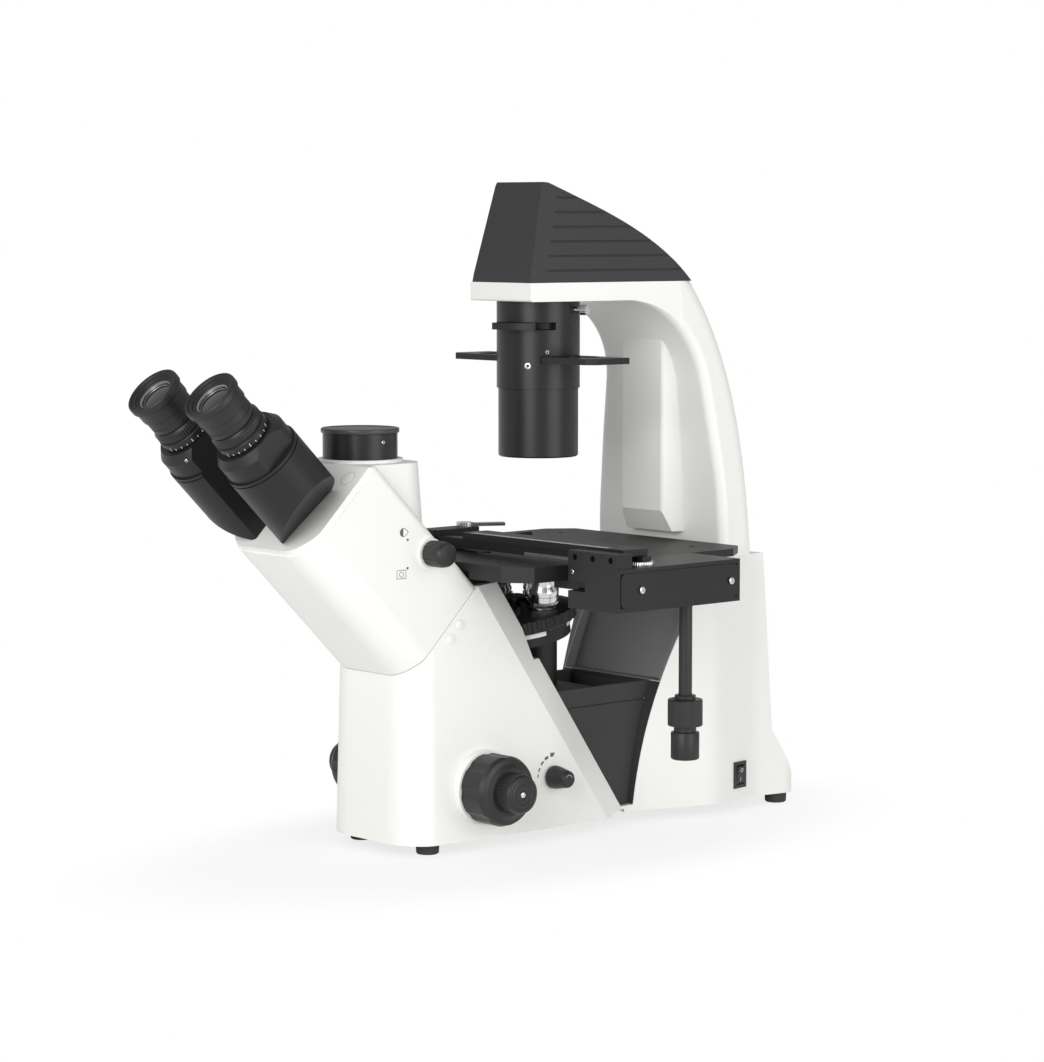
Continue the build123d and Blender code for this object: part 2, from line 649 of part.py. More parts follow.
def head_face_plate():
    plate = Pos(0, 0, HEAD_FACE) * extrude(head_section(HEAD_HALF - 1.2, HEAD_CHIN + 1.2, HEAD_BACK), FACE_T)
    plate -= Pos(0, HUB_V, 0) * disc(15.0, 300, 400)
    return HEAD.location * plate & slab(-90, 90, -300, -100, 100, PORT_DECK)


def photo_port_tube():
    tube = disc(PORT_R + 3.5, PORT_DECK, PORT_DECK + 2) + disc(PORT_R, PORT_DECK, PORT_TUBE_TOP)
    return Pos(0, PORT_Y, 0) * (tube - disc(PORT_BORE_R, 200, 400))


def photo_port_cap():
    low = PORT_TUBE_TOP + GAP
    top = low + PORT_CAP_T
    cap = turned([(0, low), (PORT_CAP_R - 0.5, low), (PORT_CAP_R, low + 0.6), (PORT_CAP_R, top - 1),
                  (PORT_CAP_R - 1, top), (0, top)])
    spigot = disc(PORT_BORE_R - GAP, low - 8, low) - disc(PORT_BORE_R - 3, 200, low - 1)
    return Pos(0, PORT_Y, 0) * (cap + spigot)


def light_path_knob():
    y, z = LIGHT_KNOB
    start = HEAD_HALF + 2.5 + GAP
    grip = fluted(LIGHT_KNOB_R, start, start + LIGHT_KNOB_L, 12, 1.4, 0.5)
    return along_x(grip - disc(3.0, 0, start + LIGHT_KNOB_L - 3), 0, y, z)


def light_path_ring():
    y, z = LIGHT_KNOB
    ring = disc(LIGHT_KNOB_R + 1.4, HEAD_HALF, HEAD_HALF + 2.5) - disc(3.0 + RUN, 0, 90)
    return along_x(ring, 0, y, z)


def light_path_shaft():
    y, z = LIGHT_KNOB
    half = PRISM / 2
    rod = along_x(disc(3.0, half + 0.5, HEAD_HALF + LIGHT_KNOB_L - 2), 0, y, z)
    v0, u0 = (y + z) / sqrt(2), (z - y) / sqrt(2)
    foot = HUB_V - half
    end = beam_cross_u() + 6
    side = [(v0 + 3.5, u0 - 6), (v0 + 3.5, u0 + 6), (v0 - 10, end), (foot, end), (foot, u0 - 6)]
    arm = Pos(half + 2, 0, 0) * side_prism(side, 0.0, 1.5)
    return rod + HEAD.location * arm


def beam_cross_u():
    """Place along the head's axis where the light meets the photo port's axis."""
    return HUB_V - PORT_Y * sqrt(2)


def beam_prism():
    half = PRISM / 2
    cube = slab(-half, half + 0.5, HUB_V - half, HUB_V + half, beam_cross_u() - half, beam_cross_u() + half)
    return HEAD.location * cube


# Binocular tubes, drawn in the head's own axes
def tube_drop():
    return sqrt(EYE_ARM ** 2 - (EYE_SPACING / 2) ** 2)


def tube_place():
    return EYE_SPACING / 2, HUB_V - tube_drop()


def hub_foot():
    return HEAD_FACE + FACE_T


def binocular_hub():
    foot = hub_foot()
    pin = disc(HUB_PIN_R, HEAD_FACE, foot + 2 * TUBE_PLATE + 3 * GAP)
    cap = disc(HUB_R - 1, foot + 2 * TUBE_PLATE + 3 * GAP, foot + 2 * TUBE_PLATE + 3 * GAP + 3)
    seat = disc(15.0 - FIT, HEAD_FACE, foot)
    return HEAD.location * Pos(0, HUB_V, 0) * (pin + cap + seat - disc(5.0, 300, 400))


def tube_housing(level):
    """Right-hand prism housing; level says which of the two hub plates it carries."""
    x, v = tube_place()
    foot = hub_foot() + GAP
    body = Pos(x, v, 0) * (disc(TUBE_R, foot, TUBE_TOP) - disc(TUBE_R + 1, TUBE_TOP - 3, TUBE_TOP - 2))
    body += Pos(x, v, 0) * disc(TUBE_R - 0.8, TUBE_TOP - 4, TUBE_TOP)
    body -= slab(x - 60, x - TUBE_FLAT, v - 60, v + 60, 300, 500)
    slant = Plane(origin=(x, v, hub_foot() + 10), x_dir=(1, 0, 0.87), z_dir=(0.87, -0.16, -1))
    body -= extrude(slant * Rectangle(200, 200), 120)
    low = foot + level * (TUBE_PLATE + GAP)
    arm = slab(0, x - TUBE_FLAT + 4, -9, 9, low, low + TUBE_PLATE)
    turn = degrees(acos(EYE_SPACING / 2 / EYE_ARM))
    plate = Pos(0, HUB_V, 0) * (Rot(0, 0, -turn) * arm + disc(HUB_R, low, low + TUBE_PLATE))
    body += plate - Pos(0, HUB_V, 0) * disc(HUB_PIN_R + RUN, 300, 500)
    block = extrude(RectangleRounded(2 * COLLAR_R - 8, 2 * COLLAR_R, 15), COLLAR_TOP - TUBE_TOP)
    neck = Pos(x, v, TUBE_TOP) * block
    neck &= Pos(x, v, 0) * turned([(0, TUBE_TOP), (COLLAR_R, TUBE_TOP), (COLLAR_R, COLLAR_TOP - 6),
                                   (COLLAR_R - 4, COLLAR_TOP), (0, COLLAR_TOP)])
    body += neck - slab(x - 60, x - TUBE_FLAT, v - 60, v + 60, 300, 500)
    return body - Pos(x, v, 0) * disc(EYE_BARREL_R - 2.5 + RUN, TUBE_TOP - 20, 500)


def right_tube_housing():
    return HEAD.location * tube_housing(1)


def left_tube_housing():
    return mirror(HEAD.location * tube_housing(0), Plane.YZ)


def diopter_ring():
    x, v = tube_place()
    low = COLLAR_TOP + GAP
    ring = turned([(0, low), (DIOPTER_R, low), (DIOPTER_R, DIOPTER_TOP - 2), (DIOPTER_R - 1.5, DIOPTER_TOP),
                   (0, DIOPTER_TOP)])
    return Pos(x, v, 0) * (ring - disc(EYE_BARREL_R - 2.5, 300, 500))


def eyepiece():
    x, v = tube_place()
    barrel = disc(EYE_BARREL_R - 2.5, TUBE_TOP - 10, DIOPTER_TOP)
    body = turned([(0, DIOPTER_TOP), (EYE_BARREL_R - 1, DIOPTER_TOP), (EYE_BARREL_R, DIOPTER_TOP + 1),
                   (EYE_BARREL_R, EYE_TOP - 15.5), (0, EYE_TOP - 15.5)])
    return Pos(x, v, 0) * (barrel + body - disc(EYE_BARREL_R - 5, 300, 500))


def eyecup():
    x, v = tube_place()
    low = EYE_TOP - 15.5
    cup = turned([(EYE_BARREL_R - 5, low), (EYE_BARREL_R + 1, low), (EYECUP_R - 0.6, low + 3),
                  (EYECUP_R, EYE_TOP - 2), (EYECUP_R - 1, EYE_TOP), (EYECUP_R - 4, EYE_TOP),
                  (EYECUP_R - 5.5, EYE_TOP - 3), (EYE_BARREL_R - 5, EYE_TOP - 5)])
    return Pos(x, v, 0) * cup


def eye_lens():
    x, v = tube_place()
    return Pos(x, v, 0) * disc(EYE_BARREL_R - 5 - FIT, EYE_TOP - 14, EYE_TOP - 8)


def right_side(part):
    return HEAD.location * part


def left_side(part):
    return mirror(HEAD.location * part, Plane.YZ)


# Focus drive
def focus_flanges():
    ring = disc(FLANGE_R, 44.0, FLANGE_X) - disc(COARSE_SHAFT_R + RUN, 0, 90)
    right = along_x(ring, 0, FOCUS_Y, FOCUS_Z)
    return [right, mirror(right, Plane.YZ)]


def tension_ring():
    """Ring on the left that sets how stiffly the coarse knobs turn."""
    ring = fluted(TENSION_R, FLANGE_X + GAP, FLANGE_X + GAP + TENSION_L, 24, 2.0, 0.6)
    return mirror(along_x(ring - disc(COARSE_SHAFT_R + RUN, 0, 200), 0, FOCUS_Y, FOCUS_Z), Plane.YZ)


def coarse_end():
    """Outer end of the right coarse knob."""
    return FLANGE_X + GAP + COARSE_L


def left_knob(part):
    """A right-hand focus knob carried to the left, outside the tension ring."""
    return Pos(-TENSION_L - GAP, 0, 0) * mirror(part, Plane.YZ)


def coarse_shaft():
    tube = disc(COARSE_SHAFT_R, -coarse_end() - TENSION_L - GAP, coarse_end())
    return along_x(tube - disc(FINE_SHAFT_R + RUN, -200, 200), 0, FOCUS_Y, FOCUS_Z)


def focus_pinion():
    wheel = gear(PINION_TEETH, focus_module(), -7, 7) - disc(COARSE_SHAFT_R, -50, 50)
    return along_x(Rot(0, 0, 90) * wheel, 0, FOCUS_Y, FOCUS_Z)


def focus_module():
    return FOCUS_PER_TURN / pi / PINION_TEETH


def coarse_knob():
    x0 = FLANGE_X + GAP
    grip = turned([(0, x0), (COARSE_R, x0), (COARSE_R, x0 + COARSE_L - 6), (COARSE_R - 1.5, x0 + COARSE_L - 3),
                   (COARSE_R - 5, x0 + COARSE_L - 2), (COARSE_R - 8, coarse_end()), (0, coarse_end())])
    flutes = [p * disc(16.0, x0 - 1, x0 + COARSE_L - 3) for p in PolarLocations(COARSE_R + 15.2, 8)]
    return along_x(grip - flutes - disc(COARSE_SHAFT_R, 0, 200), 0, FOCUS_Y, FOCUS_Z)


def fine_knob():
    x0 = coarse_end() + GAP
    grip = turned([(0, x0), (FINE_R, x0), (FINE_R, x0 + FINE_L - 4), (FINE_R - 1.5, x0 + FINE_L),
                   (FINE_R - 4, x0 + FINE_L), (FINE_R - 4, x0 + FINE_L - 1), (0, x0 + FINE_L - 1)])
    flutes = [p * disc(2.0, x0 - 1, x0 + FINE_L - 3) for p in PolarLocations(FINE_R + 1.5, 18)]
    return along_x(grip - flutes - disc(FINE_SHAFT_R, 0, x0 + FINE_L - 4), 0, FOCUS_Y, FOCUS_Z)


def fine_shaft():
    end = coarse_end() + GAP + FINE_L - 4
    return along_x(disc(FINE_SHAFT_R, -end - TENSION_L - GAP, end), 0, FOCUS_Y, FOCUS_Z)


def rack_y():
    return FOCUS_Y + FOCUS_PER_TURN / (2 * pi)


def focus_rack():
    bar = rack(24, focus_module(), 14.0, 7.0)
    middle = FOCUS_Z + 3 * pi * focus_module()
    return Pos(-7, rack_y(), middle) * Rot(0, 0, 90) * Rot(90, 0, 0) * bar


# Nosepiece
def turret_frame():
    return Plane(origin=(0, TURRET_Y, TURRET_Z), x_dir=(1, 0, 0),
                 z_dir=(0, -sin(radians(TURRET_TILT)), cos(radians(TURRET_TILT))))


def seat_height():
    return TURRET_T - 6.0


def pitch_r():
    tilt = radians(TURRET_TILT)
    return (-TURRET_Y + seat_height() * sin(tilt)) / cos(tilt)


def nosepiece_carriage():
    dish = turret_frame().location * (disc(40.0, -17.0, -7.0) + disc(30.0, -8.0, -6.0 - GAP))
    tube = disc(NOSE_TUBE_R, NOSE_TUBE_FOOT, TURRET_Z - 14)
    collar = disc(23.0, 64, 76) & slab(-30, 30, -30, -8, 60, 80)
    back = rack_y() + 7.0
    fork = slab(17, 23, back, -9, 64, 76)
    beam = slab(-23, 23, back, back + 8, 30, 76)
    body = dish + tube + collar + fork + mirror(fork, Plane.YZ) + beam
    light = disc(NOSE_BORE_R, 0, 300)
    head = turret_frame().location * disc(6.0, -30, 0)
    return body - light - head


def turret_pivot():
    pin = disc(6.0, -17.0, seat_height() + 2) + disc(9.0, seat_height() + 5, seat_height() + 7)
    pin += disc(6.0, seat_height() + 2, seat_height() + 5)
    return turret_frame().location * pin


def turret():
    low = -6.0
    slope = tan(radians(TURRET_TILT))
    rise = seat_height() + pitch_r() * slope
    wheel = turned([(0, low), (TURRET_R - 3, low), (TURRET_R - 3, low + 1), (TURRET_R, low + 1),
                    (TURRET_R, low + 9), (TURRET_R - 2, low + 9.5),
                    (TURRET_R - 6, rise - (TURRET_R - 6) * slope),
                    (16, rise - 16 * slope), (16, seat_height()), (0, seat_height())])
    flutes = [p * disc(2.6, low + 1, low + 12) for p in PolarLocations(TURRET_R + 1.4, TURRET_FLUTES)]
    wheel = turret_frame().location * (wheel - flutes - disc(6.0 + RUN, -40, 40))
    seat = Pos(0, 0, seat_z()) * (disc(OBJECTIVE_R + 0.5, -0.4, 20) + disc(8.0, -40, 0))
    return wheel - [place * seat for place in turret_places()]


def seat_z():
    tilt = radians(TURRET_TILT)
    return TURRET_Z + pitch_r() * sin(tilt) + seat_height() * cos(tilt)


def turret_places():
    frame = turret_frame().location
    step = 360.0 / TURRET_PLACES
    return [frame * Rot(0, 0, i * step) * frame.inverse() for i in range(TURRET_PLACES)]


def objective(index, length, tip_r, waist_r):
    foot = seat_z() - 0.4
    top = OBJECTIVE_TIP - length
    r = OBJECTIVE_R
    shape = turned([(0, foot), (r, foot), (r, foot + 5), (r - 0.7, foot + 5.4), (r - 0.7, foot + 6),
                    (r, foot + 6.4), (r, foot + 14), (waist_r, foot + 17), (waist_r, top - 5),
                    (tip_r, top), (0, top)])
    return turret_places()[index] * shape


def turret_plug():
    foot = seat_z() - 0.4
    shape = turned([(0, foot), (OBJECTIVE_R, foot), (OBJECTIVE_R, foot + 3), (OBJECTIVE_R - 1.5, foot + 4.5),
                    (0, foot + 4.5)])
    return turret_places()[3] * shape


# Optics in the stand
def mirror_frame():
    """Frame on the deflecting mirror, whose normal halves the angle between the light's two ways."""
    half = radians(22.5)
    return Plane(origin=(0, 0, HUB_V * sqrt(2)), x_dir=(1, 0, 0), z_dir=(0, -sin(half), cos(half)))


def beam_mirror():
    return mirror_frame().location * slab(-15, 15, -9, 9, -4, 0)


def mirror_bracket():
    wedge = mirror_frame().location * slab(-18, 18, -9, 9, -40, -4)
    return wedge & slab(-30, 30, -20, 10, FOOT_H + COVER_T, 80)


def relay_tube():
    tube = disc(16.0, 104, seat_u()) - disc(12.0, 60, 300)
    flange = disc(17.0 - FIT, seat_u() - 3, seat_u()) - disc(12.0, 60, 300)
    return HEAD.location * Pos(0, HUB_V, 0) * (tube + flange)


def tube_lens():
    return HEAD.location * Pos(0, HUB_V, 0) * disc(12.0 - FIT, 110, 116)


# Stage
def stage_under():
    return STAGE_TOP - STAGE_T


def stage_rim_low():
    return STAGE_TOP - STAGE_RIM_T


def stage_plate():
    dx, dy = STAGE_CORNER
    front = [(STAGE_HALF_X - dx, STAGE_FRONT), (STAGE_HALF_X, STAGE_FRONT + dy)]
    back = [(STAGE_HALF_X, STAGE_BACK - dx), (STAGE_HALF_X - dy, STAGE_BACK)]
    inner = STAGE_HALF_X - GUIDE_IN - 2
    step = -GUIDE_HALF - 2
    lip = front + [(STAGE_HALF_X, step), (inner, step), (inner, 30.0), (60.0, 40.0)]
    top = plan_prism(mirrored(front + back), 1.0, stage_under(), STAGE_T)
    rim = plan_prism(mirrored(lip), 0.0, stage_rim_low(), STAGE_RIM_T - STAGE_T)
    rim -= Pos(0, TURRET_Y, 0) * disc(TURRET_R + 6, 0, 300)
    pads = slab(-40, 40, 60, STAGE_BACK - 1, stage_rim_low(), stage_under())
    ring = disc(STAGE_HOLE_R - 3, 0, 300) + disc(STAGE_HOLE_R, STAGE_TOP - INSERT_T, 300)
    tapped = [Pos(x, y, 0) * disc(STAGE_TAP_R, 0, 300) for x, y in STAGE_HOLES]
    head_room = HEAD.location * slab(-HEAD_HALF - 2, HEAD_HALF + 2, -100, HEAD_BACK + 1.5, 0, 400)
    return top + rim + pads - ring - tapped - head_room


def stage_insert():
    plate = disc(STAGE_HOLE_R - FIT, STAGE_TOP - INSERT_T, STAGE_TOP) - disc(INSERT_HOLE_R, 0, 300)
    low = STAGE_TOP - INSERT_T
    relief = disc(STAGE_HOLE_R - INSERT_RIM, low - 1, low + INSERT_RELIEF)
    notch = Pos(0, -STAGE_HOLE_R, 0) * disc(7.0, 0, 300)
    return plate - relief - notch


def stage_supports():
    top = stage_rim_low()
    front = slab(-36, 36, -99, -80, BODY_TOP, top)
    rear = side_prism([(86, top - 10), (recess_y(top - 10), top - 10), (recess_y(top), top), (86, top)],
                      0.0, 38)
    return [front, rear]


def y_guide():
    right = STAGE_HALF_X + GUIDE_OUT
    under = stage_under()
    bar = slab(STAGE_HALF_X - GUIDE_IN, right, -GUIDE_HALF, GUIDE_HALF, under - 12, under)
    tongue = slab(right, rack_x() - 6, -GUIDE_HALF, GUIDE_HALF, under - 10, under - 3)
    return bar + tongue


def rack_x():
    """Pitch line of the rack that the front-to-back knob rolls along."""
    return ROD_X - Y_TEETH * STAGE_MODULE / 2


def y_rack():
    bar = rack(28, STAGE_MODULE, 7.0, 6.0)
    return Pos(rack_x(), ROD_Y, stage_under() - 10) * Rot(0, 0, 180) * bar


def bar_guide():
    """Rear guide of the cross bar, standing on the carriage, with the clamp nut's stud in it."""
    x, y = CLAMP_NUT
    front = BAR_FRONT + BAR_RAIL_W + 2 + 2 * GAP
    rear = BAR_FRONT + BAR_W - 1
    top = BOX_TOP + BAR_RAIL - GAP
    leg = slab(x - CLAMP_NUT_R - 6, x - CLAMP_NUT_R - 1, front, rear, BOX_TOP, top)
    head = slab(x - CLAMP_NUT_R - 6, x + 8, front, rear, BOX_TOP + CLAMP_NUT_T + GAP, top)
    return leg + head - Pos(x, y, 0) * disc(2.0 + FIT, BOX_TOP, top - 1)


def clamp_nut():
    x, y = CLAMP_NUT
    wheel = fluted(CLAMP_NUT_R, BOX_TOP, BOX_TOP + CLAMP_NUT_T, 40, 0.8, 0.35)
    return Pos(x, y, 0) * (wheel + disc(2.0, BOX_TOP, BOX_TOP + BAR_RAIL - 2))


def y_carriage():
    under = stage_under()
    box = slab(BOX_LEFT, BOX_RIGHT, BOX_FRONT, BOX_REAR, BOX_BOTTOM, BOX_TOP)
    front = slab(BOX_LEFT, BOX_RIGHT - 1, BOX_FRONT, BAR_FRONT - GAP, BOX_TOP, BOX_TOP + BOX_FRONT_RISE)
    groove = slab(BOX_LEFT - 1, rack_x() + 1.2, -200, 200, under - 10 - GAP, under - 3 + GAP)
    middle = (BOX_LEFT + BOX_RIGHT) / 2
    bore = Pos(middle, BOX_FRONT, BOX_TOP + 6) * Rot(90, 0, 0) * Cylinder(2.2, 10)
    holes = [Pos(x, 0, 0) * bore for x in (-18, 0, 18)]
    pocket = slab(BOX_RIGHT - 1.2, BOX_RIGHT + 5, BOX_FRONT + 3, BOX_REAR - 3, BOX_BOTTOM + 3, BOX_TOP - 3)
    room = Pos(ROD_X, ROD_Y, 0) * disc(Y_TEETH * STAGE_MODULE / 2 + 2, under - 11, BOX_TOP - 7)
    bearing = Pos(ROD_X, ROD_Y, 0) * disc(ROD_R + RUN, 100, under - 10)
    return box + front + bar_guide() - groove - holes - pocket - room - bearing


def carriage_cover():
    plate = slab(BOX_RIGHT - 1.2, BOX_RIGHT + 0.6, BOX_FRONT + 3 + FIT, BOX_REAR - 3 - FIT,
                 BOX_BOTTOM + 3 + FIT, BOX_TOP - 3 - FIT)
    return fillet(plate.edges().filter_by(Axis.X), 4.0)


def cover_screws():
    socket = extrude(RegularPolygon(1.3, 6), 3)
    screw = turned([(0, 0), (2.4, 0), (2.4, 0.8), (1.9, 1.2), (0, 1.2)]) - Pos(0, 0, 0.3) * socket
    z = (BOX_BOTTOM + BOX_TOP) / 2
    return [along_x(screw, BOX_RIGHT + 0.6, y, z) for y in (BOX_FRONT + 22, BOX_REAR - 10)]


def x_bar():
    front = BAR_FRONT + 1.5
    under = BOX_TOP + BAR_RAIL
    rear = BAR_FRONT + BAR_RAIL_W + 2
    rail = slab(BAR_LEFT + 1.5, BAR_RIGHT - 20, front, rear, BOX_TOP + GAP, under)
    relief = slab(BAR_LEFT, BAR_RIGHT, CLAMP_NUT[1] - CLAMP_NUT_R - GAP, rear + 1, BOX_TOP,
                  BOX_TOP + CLAMP_NUT_T + GAP)
    rail = rail - relief
    plate = slab(BAR_LEFT, BAR_RIGHT, BAR_FRONT, BAR_FRONT + BAR_W, under, under + BAR_T)
    plate = chamfer(plate.edges().filter_by(Axis.Z), 1.0)
    return rail + plate - along_x(disc(END_SCREW_R, 0, 6), BAR_LEFT, *end_screw_place())


def end_screw_place():
    return BAR_FRONT + 8, BOX_TOP + BAR_RAIL + BAR_T / 2


def bar_end_screw():
    screw = disc(END_SCREW_R, -1, 6) + fluted(BAR_T / 2 - GAP, -5, -1, 14, 0.6, 0.25)
    return along_x(screw, BAR_LEFT, *end_screw_place())


def specimen_holder():
    low = STAGE_TOP + 0.4
    arm = slab(-46, BAR_LEFT + 1.5, BAR_FRONT + 4, BAR_FRONT + BAR_RAIL_W + 2, BOX_TOP + GAP,
               BOX_TOP + BAR_RAIL)
    block = slab(-64, -46, BAR_FRONT + 2, -16, low, STAGE_TOP + HOLDER_H)
    jaw = slab(-64, -58, -16, 46, low, low + 4)
    block = fillet(block.edges().filter_by(Axis.Z), 3.0)
    return arm + block + jaw - Pos(-55, -24, 0) * disc(3.0 + RUN, 0, 400)


def holder_finger():
    low = STAGE_TOP + HOLDER_H + GAP
    pin = disc(3.0, STAGE_TOP + 1, low)
    knob = fluted(6.5, low, low + 3, 12, 1.2, 0.4)
    finger = slab(-4, 30, -3.5, 3.5, low, low + 2.5)
    return Pos(-55, -24, 0) * (pin + knob + Rot(0, 0, 60) * finger)


def y_knob():
    grip = fluted(Y_KNOB_R, KNOB_JOINT, KNOB_JOINT + 19, 16, 1.6, 0.5)
    grip += disc(7.5, KNOB_JOINT + 19, KNOB_JOINT + 22)
    return Pos(ROD_X, ROD_Y, 0) * (grip - disc(ROD_R, 0, 400))


def y_shaft():
    sleeve = disc(ROD_R, KNOB_JOINT, BOX_BOTTOM + 21)
    low = stage_under() - 9.5
    wheel = gear(Y_TEETH, STAGE_MODULE, low, low + 6)
    return Pos(ROD_X, ROD_Y, 0) * (sleeve + wheel - disc(2.5 + RUN, 0, 400))


def x_knob():
    neck = KNOB_JOINT - 4.5
    grip = disc(8.0, neck, KNOB_JOINT - GAP) + fluted(X_KNOB_R, neck - 19.5, neck, 16, 1.4, 0.4)
    return Pos(ROD_X, ROD_Y, 0) * (grip - disc(2.5, neck - 14, 400))


def x_shaft():
    rod = disc(2.5, KNOB_JOINT - 18.5, BOX_BOTTOM + 21)
    return Pos(ROD_X, ROD_Y, 0) * rod


# Electrics and controls
def brightness_knob():
    x0 = flank_x(BRIGHT_Y, BRIGHT_Z) + 1.0
    knob = turned([(0, x0), (BRIGHT_R, x0), (BRIGHT_R, x0 + 3), (BRIGHT_R - 2.2, x0 + BRIGHT_L - 1),
                   (BRIGHT_R - 3, x0 + BRIGHT_L), (0, x0 + BRIGHT_L)])
    return along_x(knob - disc(3.0, 0, x0 + BRIGHT_L - 4), 0, BRIGHT_Y, BRIGHT_Z)


def brightness_spindle():
    x0 = flank_x(BRIGHT_Y, BRIGHT_Z)
    return along_x(disc(3.0, CAVITY_HALF - 5, x0 + BRIGHT_L - 3), 0, BRIGHT_Y, BRIGHT_Z)


def dimmer_control():
    x0 = flank_x(BRIGHT_Y, BRIGHT_Z)
    bush = disc(4.2 - FIT, CAVITY_HALF, x0 - 0.5) + disc(8.0, CAVITY_HALF - 12, CAVITY_HALF)
    return along_x(bush - disc(3.0 + RUN, CAVITY_HALF - 6, 200), 0, BRIGHT_Y, BRIGHT_Z)


def switch_plane():
    across = Vector(COLUMN_REAR_HALF - COLUMN_HALF, 165.0 - COLUMN_CREASE_Y, 0).normalized()
    share = (SWITCH_Y - COLUMN_CREASE_Y) / (165.0 - COLUMN_CREASE_Y)
    x = COLUMN_HALF + (COLUMN_REAR_HALF - COLUMN_HALF) * share
    return Plane(origin=(x, SWITCH_Y, SWITCH_Z), x_dir=across, z_dir=across.cross(Vector(0, 0, 1)))


def switch_frame():
    plate = Pos(0, 0, 0.7) * Box(SWITCH_W, SWITCH_H, 1.4)
    shell = Pos(0, 0, -7) * Box(SWITCH_W - 2.4, SWITCH_H - 2.4, 14)
    window = Box(SWITCH_W - 5, SWITCH_H - 5, 12)
    seats = Rot(0, 90, 0) * Cylinder(ROCKER_PIN_R + RUN, SWITCH_W - 3)
    return switch_plane().location * (plate + shell - window - seats)


def switch_rocker():
    w = SWITCH_W - 5 - 2 * GAP
    h = SWITCH_H - 5 - 6 * GAP
    side = Polyline((-h / 2, -0.5), (-h / 2, 1.2), (0, 1.9), (h / 2, 3.2), (h / 2 - 0.6, -0.5), (0, -3.0),
                    close=True)
    rocker = extrude(Plane.YZ * make_face(side), w / 2, both=True)
    pins = Rot(0, 90, 0) * Cylinder(ROCKER_PIN_R, SWITCH_W - 3.4)
    return switch_plane().location * (rocker + pins)


def rear_plane():
    """Frame on the column's rear face, x across, y up, z out."""
    lean = 9.0 / (COLUMN_TOP - HEEL_TOP)
    return Plane(origin=(0, COLUMN_REAR + (COLUMN_TOP - INLET_Z) * lean, INLET_Z), x_dir=(-1, 0, 0),
                 z_dir=(0, 1, lean))


def mains_inlet():
    face = slab(-15.5, 15.5, -12, 12, 0, 2.0)
    body = slab(-13.5, 13.5, -10, 10, -16, 0)
    mouth = slab(-12, 12, -8, 8, -12, 3)
    pins = [slab(x - 1, x + 1, -2, 2, -14, -8) for x in (-6, 0, 6)]
    return rear_plane().location * (face + body - mouth + pins)


def power_board():
    return slab(-40, 40, 100, 150, FOOT_H + COVER_T, FOOT_H + COVER_T + 3)


# The whole assembly
def assembly():
    nodes = {
        "main_casting": main_casting(),
        "bottom_cover": bottom_cover(),
        "rubber_feet": rubber_feet(),
        "casting_plugs": casting_plugs(),
        "notch_liner": notch_liner(),
        "column_liner": column_liner(),
        "illumination_arm": illumination_arm(),
        "lamp_house_cover": lamp_house_cover(),
        "lamp_module": lamp_module(),
        "lamp_lenses": [collector_lens(), condenser_lens()],
        "condenser_body": condenser_body(),
        "condenser_clamp": condenser_clamp(),
        "aperture_lever": aperture_lever(),
        "phase_slider": phase_slider(),
        "head_casting": head_casting(),
        "head_face_plate": head_face_plate(),
        "photo_port_tube": photo_port_tube(),
        "photo_port_cap": photo_port_cap(),
        "light_path_ring": light_path_ring(),
        "light_path_knob": light_path_knob(),
        "light_path_shaft": light_path_shaft(),
        "beam_prism": beam_prism(),
        "binocular_hub": binocular_hub(),
        "right_tube_housing": right_tube_housing(),
        "left_tube_housing": left_tube_housing(),
        "right_diopter_ring": right_side(diopter_ring()),
        "left_diopter_ring": left_side(diopter_ring()),
        "right_eyepiece": [right_side(eyepiece()), right_side(eyecup())],
        "left_eyepiece": [left_side(eyepiece()), left_side(eyecup())],
        "right_eye_lens": right_side(eye_lens()),
        "left_eye_lens": left_side(eye_lens()),
        "focus_flanges": focus_flanges(),
        "focus_tension_ring": tension_ring(),
        "coarse_knobs": [coarse_knob(), left_knob(coarse_knob())],
        "coarse_shaft": [coarse_shaft(), focus_pinion()],
        "fine_knobs": [fine_knob(), left_knob(fine_knob()), fine_shaft()],
        "focus_rack": focus_rack(),
        "nosepiece_carriage": [nosepiece_carriage(), turret_pivot()],
        "turret": turret(),
        "objectives": [objective(0, 0.0, 5.0, 9.5), objective(1, 2.0, 7.0, 10.5),
                       objective(2, 9.0, 8.0, 11.0), objective(4, 1.0, 6.0, 10.0)],
        "turret_plug": turret_plug(),
        "beam_mirror": [beam_mirror(), mirror_bracket()],
        "relay_tube": [relay_tube(), tube_lens()],
        "stage_plate": stage_plate(),
        "stage_insert": stage_insert(),
        "stage_supports": stage_supports(),
        "y_guide": [y_guide(), y_rack()],
        "y_carriage": y_carriage(),
        "carriage_cover": [carriage_cover(), clamp_nut()] + cover_screws(),
        "x_bar": [x_bar(), bar_end_screw()],
        "specimen_holder": specimen_holder(),
        "holder_finger": holder_finger(),
        "y_knob": [y_knob(), y_shaft()],
        "x_knob": [x_knob(), x_shaft()],
        "brightness_knob": [brightness_knob(), brightness_spindle()],
        "dimmer_control": dimmer_control(),
        "switch_frame": switch_frame(),
        "switch_rocker": switch_rocker(),
        "mains_inlet": mains_inlet(),
        "power_board": power_board(),
    }
    return nodes


def as_shape(piece):
    return Compound(piece) if isinstance(piece, list) else piece


if __name__ == "__main__":
    os.makedirs("parts", exist_ok=True)
    shapes = {name: as_shape(piece) for name, piece in assembly().items()}
    whole = Compound([s for s in shapes.values()]).bounding_box()
    shift = Pos(-(whole.min.X + whole.max.X) / 2, -(whole.min.Y + whole.max.Y) / 2, -whole.min.Z)
    print("moved by", shift.position)
    for name, shape in shapes.items():
        export_step(shift * shape, "parts/" + name + ".step")
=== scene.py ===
import math

